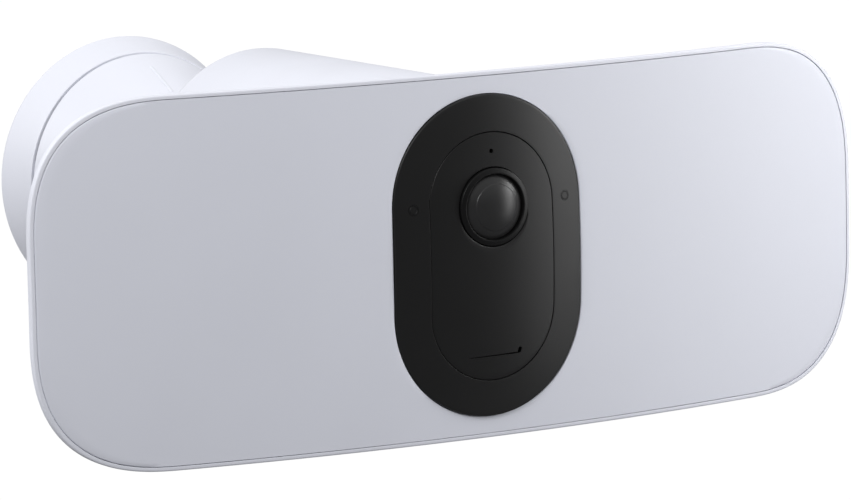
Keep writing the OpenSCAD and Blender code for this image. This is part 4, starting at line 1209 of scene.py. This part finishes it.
LAMP_PITCH, RIB_PITCH = 12.5 * MM, 11 * MM
LAMP_SIZE = (3.5 * MM, 0.7 * MM, 3.5 * MM)
RIB_SIZE = (1.2 * MM, 2.4 * MM, 52 * MM)
LAMP_OFFSET, RIB_OFFSET = -0.4, 5.2
for side, word in ((-1, "left"), (1, "right")):
    lamps = grow("leds_" + word + "_grid", LAMPS, [on_board(side, LAMP_OFFSET)], {
        "Columns": 7, "Rows": 6, "Pitch X": LAMP_PITCH, "Pitch Z": LAMP_PITCH, "Size": LAMP_SIZE,
        "Turn": side * board_turn, "Finish": finishes["led_yellow"],
    })
    settle(lamps, "light_head", "led_yellow", "leds_" + word)
    ribs = grow("heat_ribs_" + word, RIBS, [on_board(side, RIB_OFFSET)], {
        "Columns": 7, "Rows": 1, "Pitch X": RIB_PITCH, "Size": RIB_SIZE,
        "Turn": side * board_turn, "Finish": finishes["heat_alloy"],
    })
    settle(ribs, "light_head", "heat_alloy")

# %% [markdown]
# ## Solids that stay
# The hidden boards, the speaker, the siren, the contacts and the seals keep their engineering shape.
# They still get the finish of their slot, so an opened-up view looks right.

# %% Finishes for the solids that stay
slot_of = {part["node"]: part["material_slot"] for part in frame["record"]["subparts"]}
kept = [n for n, o in frame["nodes"].items() if not o.hide_render]
for node in kept:
    solid = frame["nodes"][node]
    solid.data.materials.clear()
    solid.data.materials.append(finishes[slot_of[node]])
print(len(kept), "solids keep their shape:", ", ".join(sorted(kept)))

# %% [markdown]
# ## Floor and light
# The object hangs in a white studio, whose ceiling and back wall glow softly. The floor lies well below
# it and looks as white as the background, but it gives back little light, so that undersides stay
# grey. A soft light near the right draws the band of sheen along the pill, a small one brightens the
# panel's right end, and a tall one further off fills that side. Two high lights on the left, one of
# them behind, make the housing and the mount glow.

# %% The floor
FLOOR_Z, FLOOR_SIZE = cad_low.z - 0.30, 30.0
FLOOR_GREY, SEEN_WHITE = (0.2, 0.2, 0.205, 1), 1.02
floor_data = bmesh.new()
bmesh.ops.create_grid(floor_data, x_segments=4, y_segments=4, size=FLOOR_SIZE)
bmesh.ops.translate(floor_data, vec=(0, 0, FLOOR_Z), verts=floor_data.verts)
floor = add_object("floor", free_into(floor_data, "floor"))
floor_material = bpy.data.materials.new("pale_floor")
floor_material.use_nodes = True
floor_tree = floor_material.node_tree
floor_shader = floor_tree.nodes["Principled BSDF"]
floor_shader.inputs["Base Color"].default_value = FLOOR_GREY
floor_shader.inputs["Roughness"].default_value = 0.9
floor_path = place(floor_tree, "ShaderNodeLightPath")
floor_glow = place(floor_tree, "ShaderNodeEmission", {"Color": (1, 1, 1, 1), "Strength": SEEN_WHITE})
floor_mix = place(floor_tree, "ShaderNodeMixShader", {
    0: floor_path.outputs["Is Camera Ray"], 1: floor_shader.outputs[0], 2: floor_glow.outputs[0],
})
underside = place(floor_tree, "ShaderNodeNewGeometry").outputs["Backfacing"]
see_through = place(floor_tree, "ShaderNodeBsdfTransparent")
one_way = place(floor_tree, "ShaderNodeMixShader", {
    0: underside, 1: floor_mix.outputs[0], 2: see_through.outputs[0],
})
floor_tree.links.new(one_way.outputs[0], floor_tree.nodes["Material Output"].inputs["Surface"])
floor.data.materials.append(floor_material)
print("floor at", round(FLOOR_Z, 3))

# %% The lights and the white room
def soft_light(name, at, width, height, watts, aim=(0, -0.2, 0)):
    """A rectangular soft box at a point, looking at another."""
    data = bpy.data.lights.new(name, "AREA")
    data.shape, data.size, data.size_y, data.energy = "RECTANGLE", width, height, watts
    lamp = add_object(name, data)
    lamp.location = at
    lamp.rotation_euler = (Vector(at) - Vector(aim)).to_track_quat("Z", "Y").to_euler()


soft_light("near_right", (0.43, -0.57, 0.0), width=0.22, height=0.4, watts=0.56, aim=(0.06, -0.28, 0.02))
soft_light("panel_end", (0.4, -0.4, 0.15), width=0.12, height=0.12, watts=0.42, aim=(0.17, -0.27, 0.045))
soft_light("far_right", (2.15, -1.45, 0.1), width=0.7, height=2.4, watts=20)
soft_light("high_left", (-1.85, 0.06, 1.17), width=1.2, height=1.2, watts=18)
soft_light("high_front_left", (-1.5, -1.2, 1.2), width=0.8, height=0.8, watts=20)
world = bpy.data.worlds.new("white_room")
bpy.context.scene.world = world
world.use_nodes = True
room = world.node_tree
ROOM_BASE = 0.04
ROOM_SIDES = [((0, 0, 1), 1.02), ((0, 1, 0), 0.12)]
direction = place(room, "ShaderNodeTexCoord").outputs["Generated"]
level_there = place(room, "ShaderNodeValue").outputs[0]
level_there.default_value = ROOM_BASE
for side, strength in ROOM_SIDES:
    facing = place(room, "ShaderNodeVectorMath", {0: direction, 1: side}, operation="DOT_PRODUCT")
    lit = place(room, "ShaderNodeMath", {0: facing.outputs["Value"], 1: 0.0}, operation="MAXIMUM")
    level_there = place(
        room, "ShaderNodeMath", {0: lit.outputs[0], 1: strength, 2: level_there}, operation="MULTIPLY_ADD"
    ).outputs[0]
room_path = place(room, "ShaderNodeLightPath")
room_level = place(room, "ShaderNodeMix", {
    0: room_path.outputs["Is Camera Ray"], 2: level_there, 3: SEEN_WHITE,
})
room_light = room.nodes["Background"]
room_light.inputs["Color"].default_value = (1, 1, 1, 1)
room.links.new(room_level.outputs[0], room_light.inputs["Strength"])
bpy.context.scene.view_settings.view_transform = "Standard"
print("lights ready")

# %% [markdown]
# ## Pieces made
# The pieces made here are counted, with their triangles. Finer looks never change the size.

# %% Pieces and triangles
print("pieces:", len(made), "triangles:", sum(count for _, count in made))
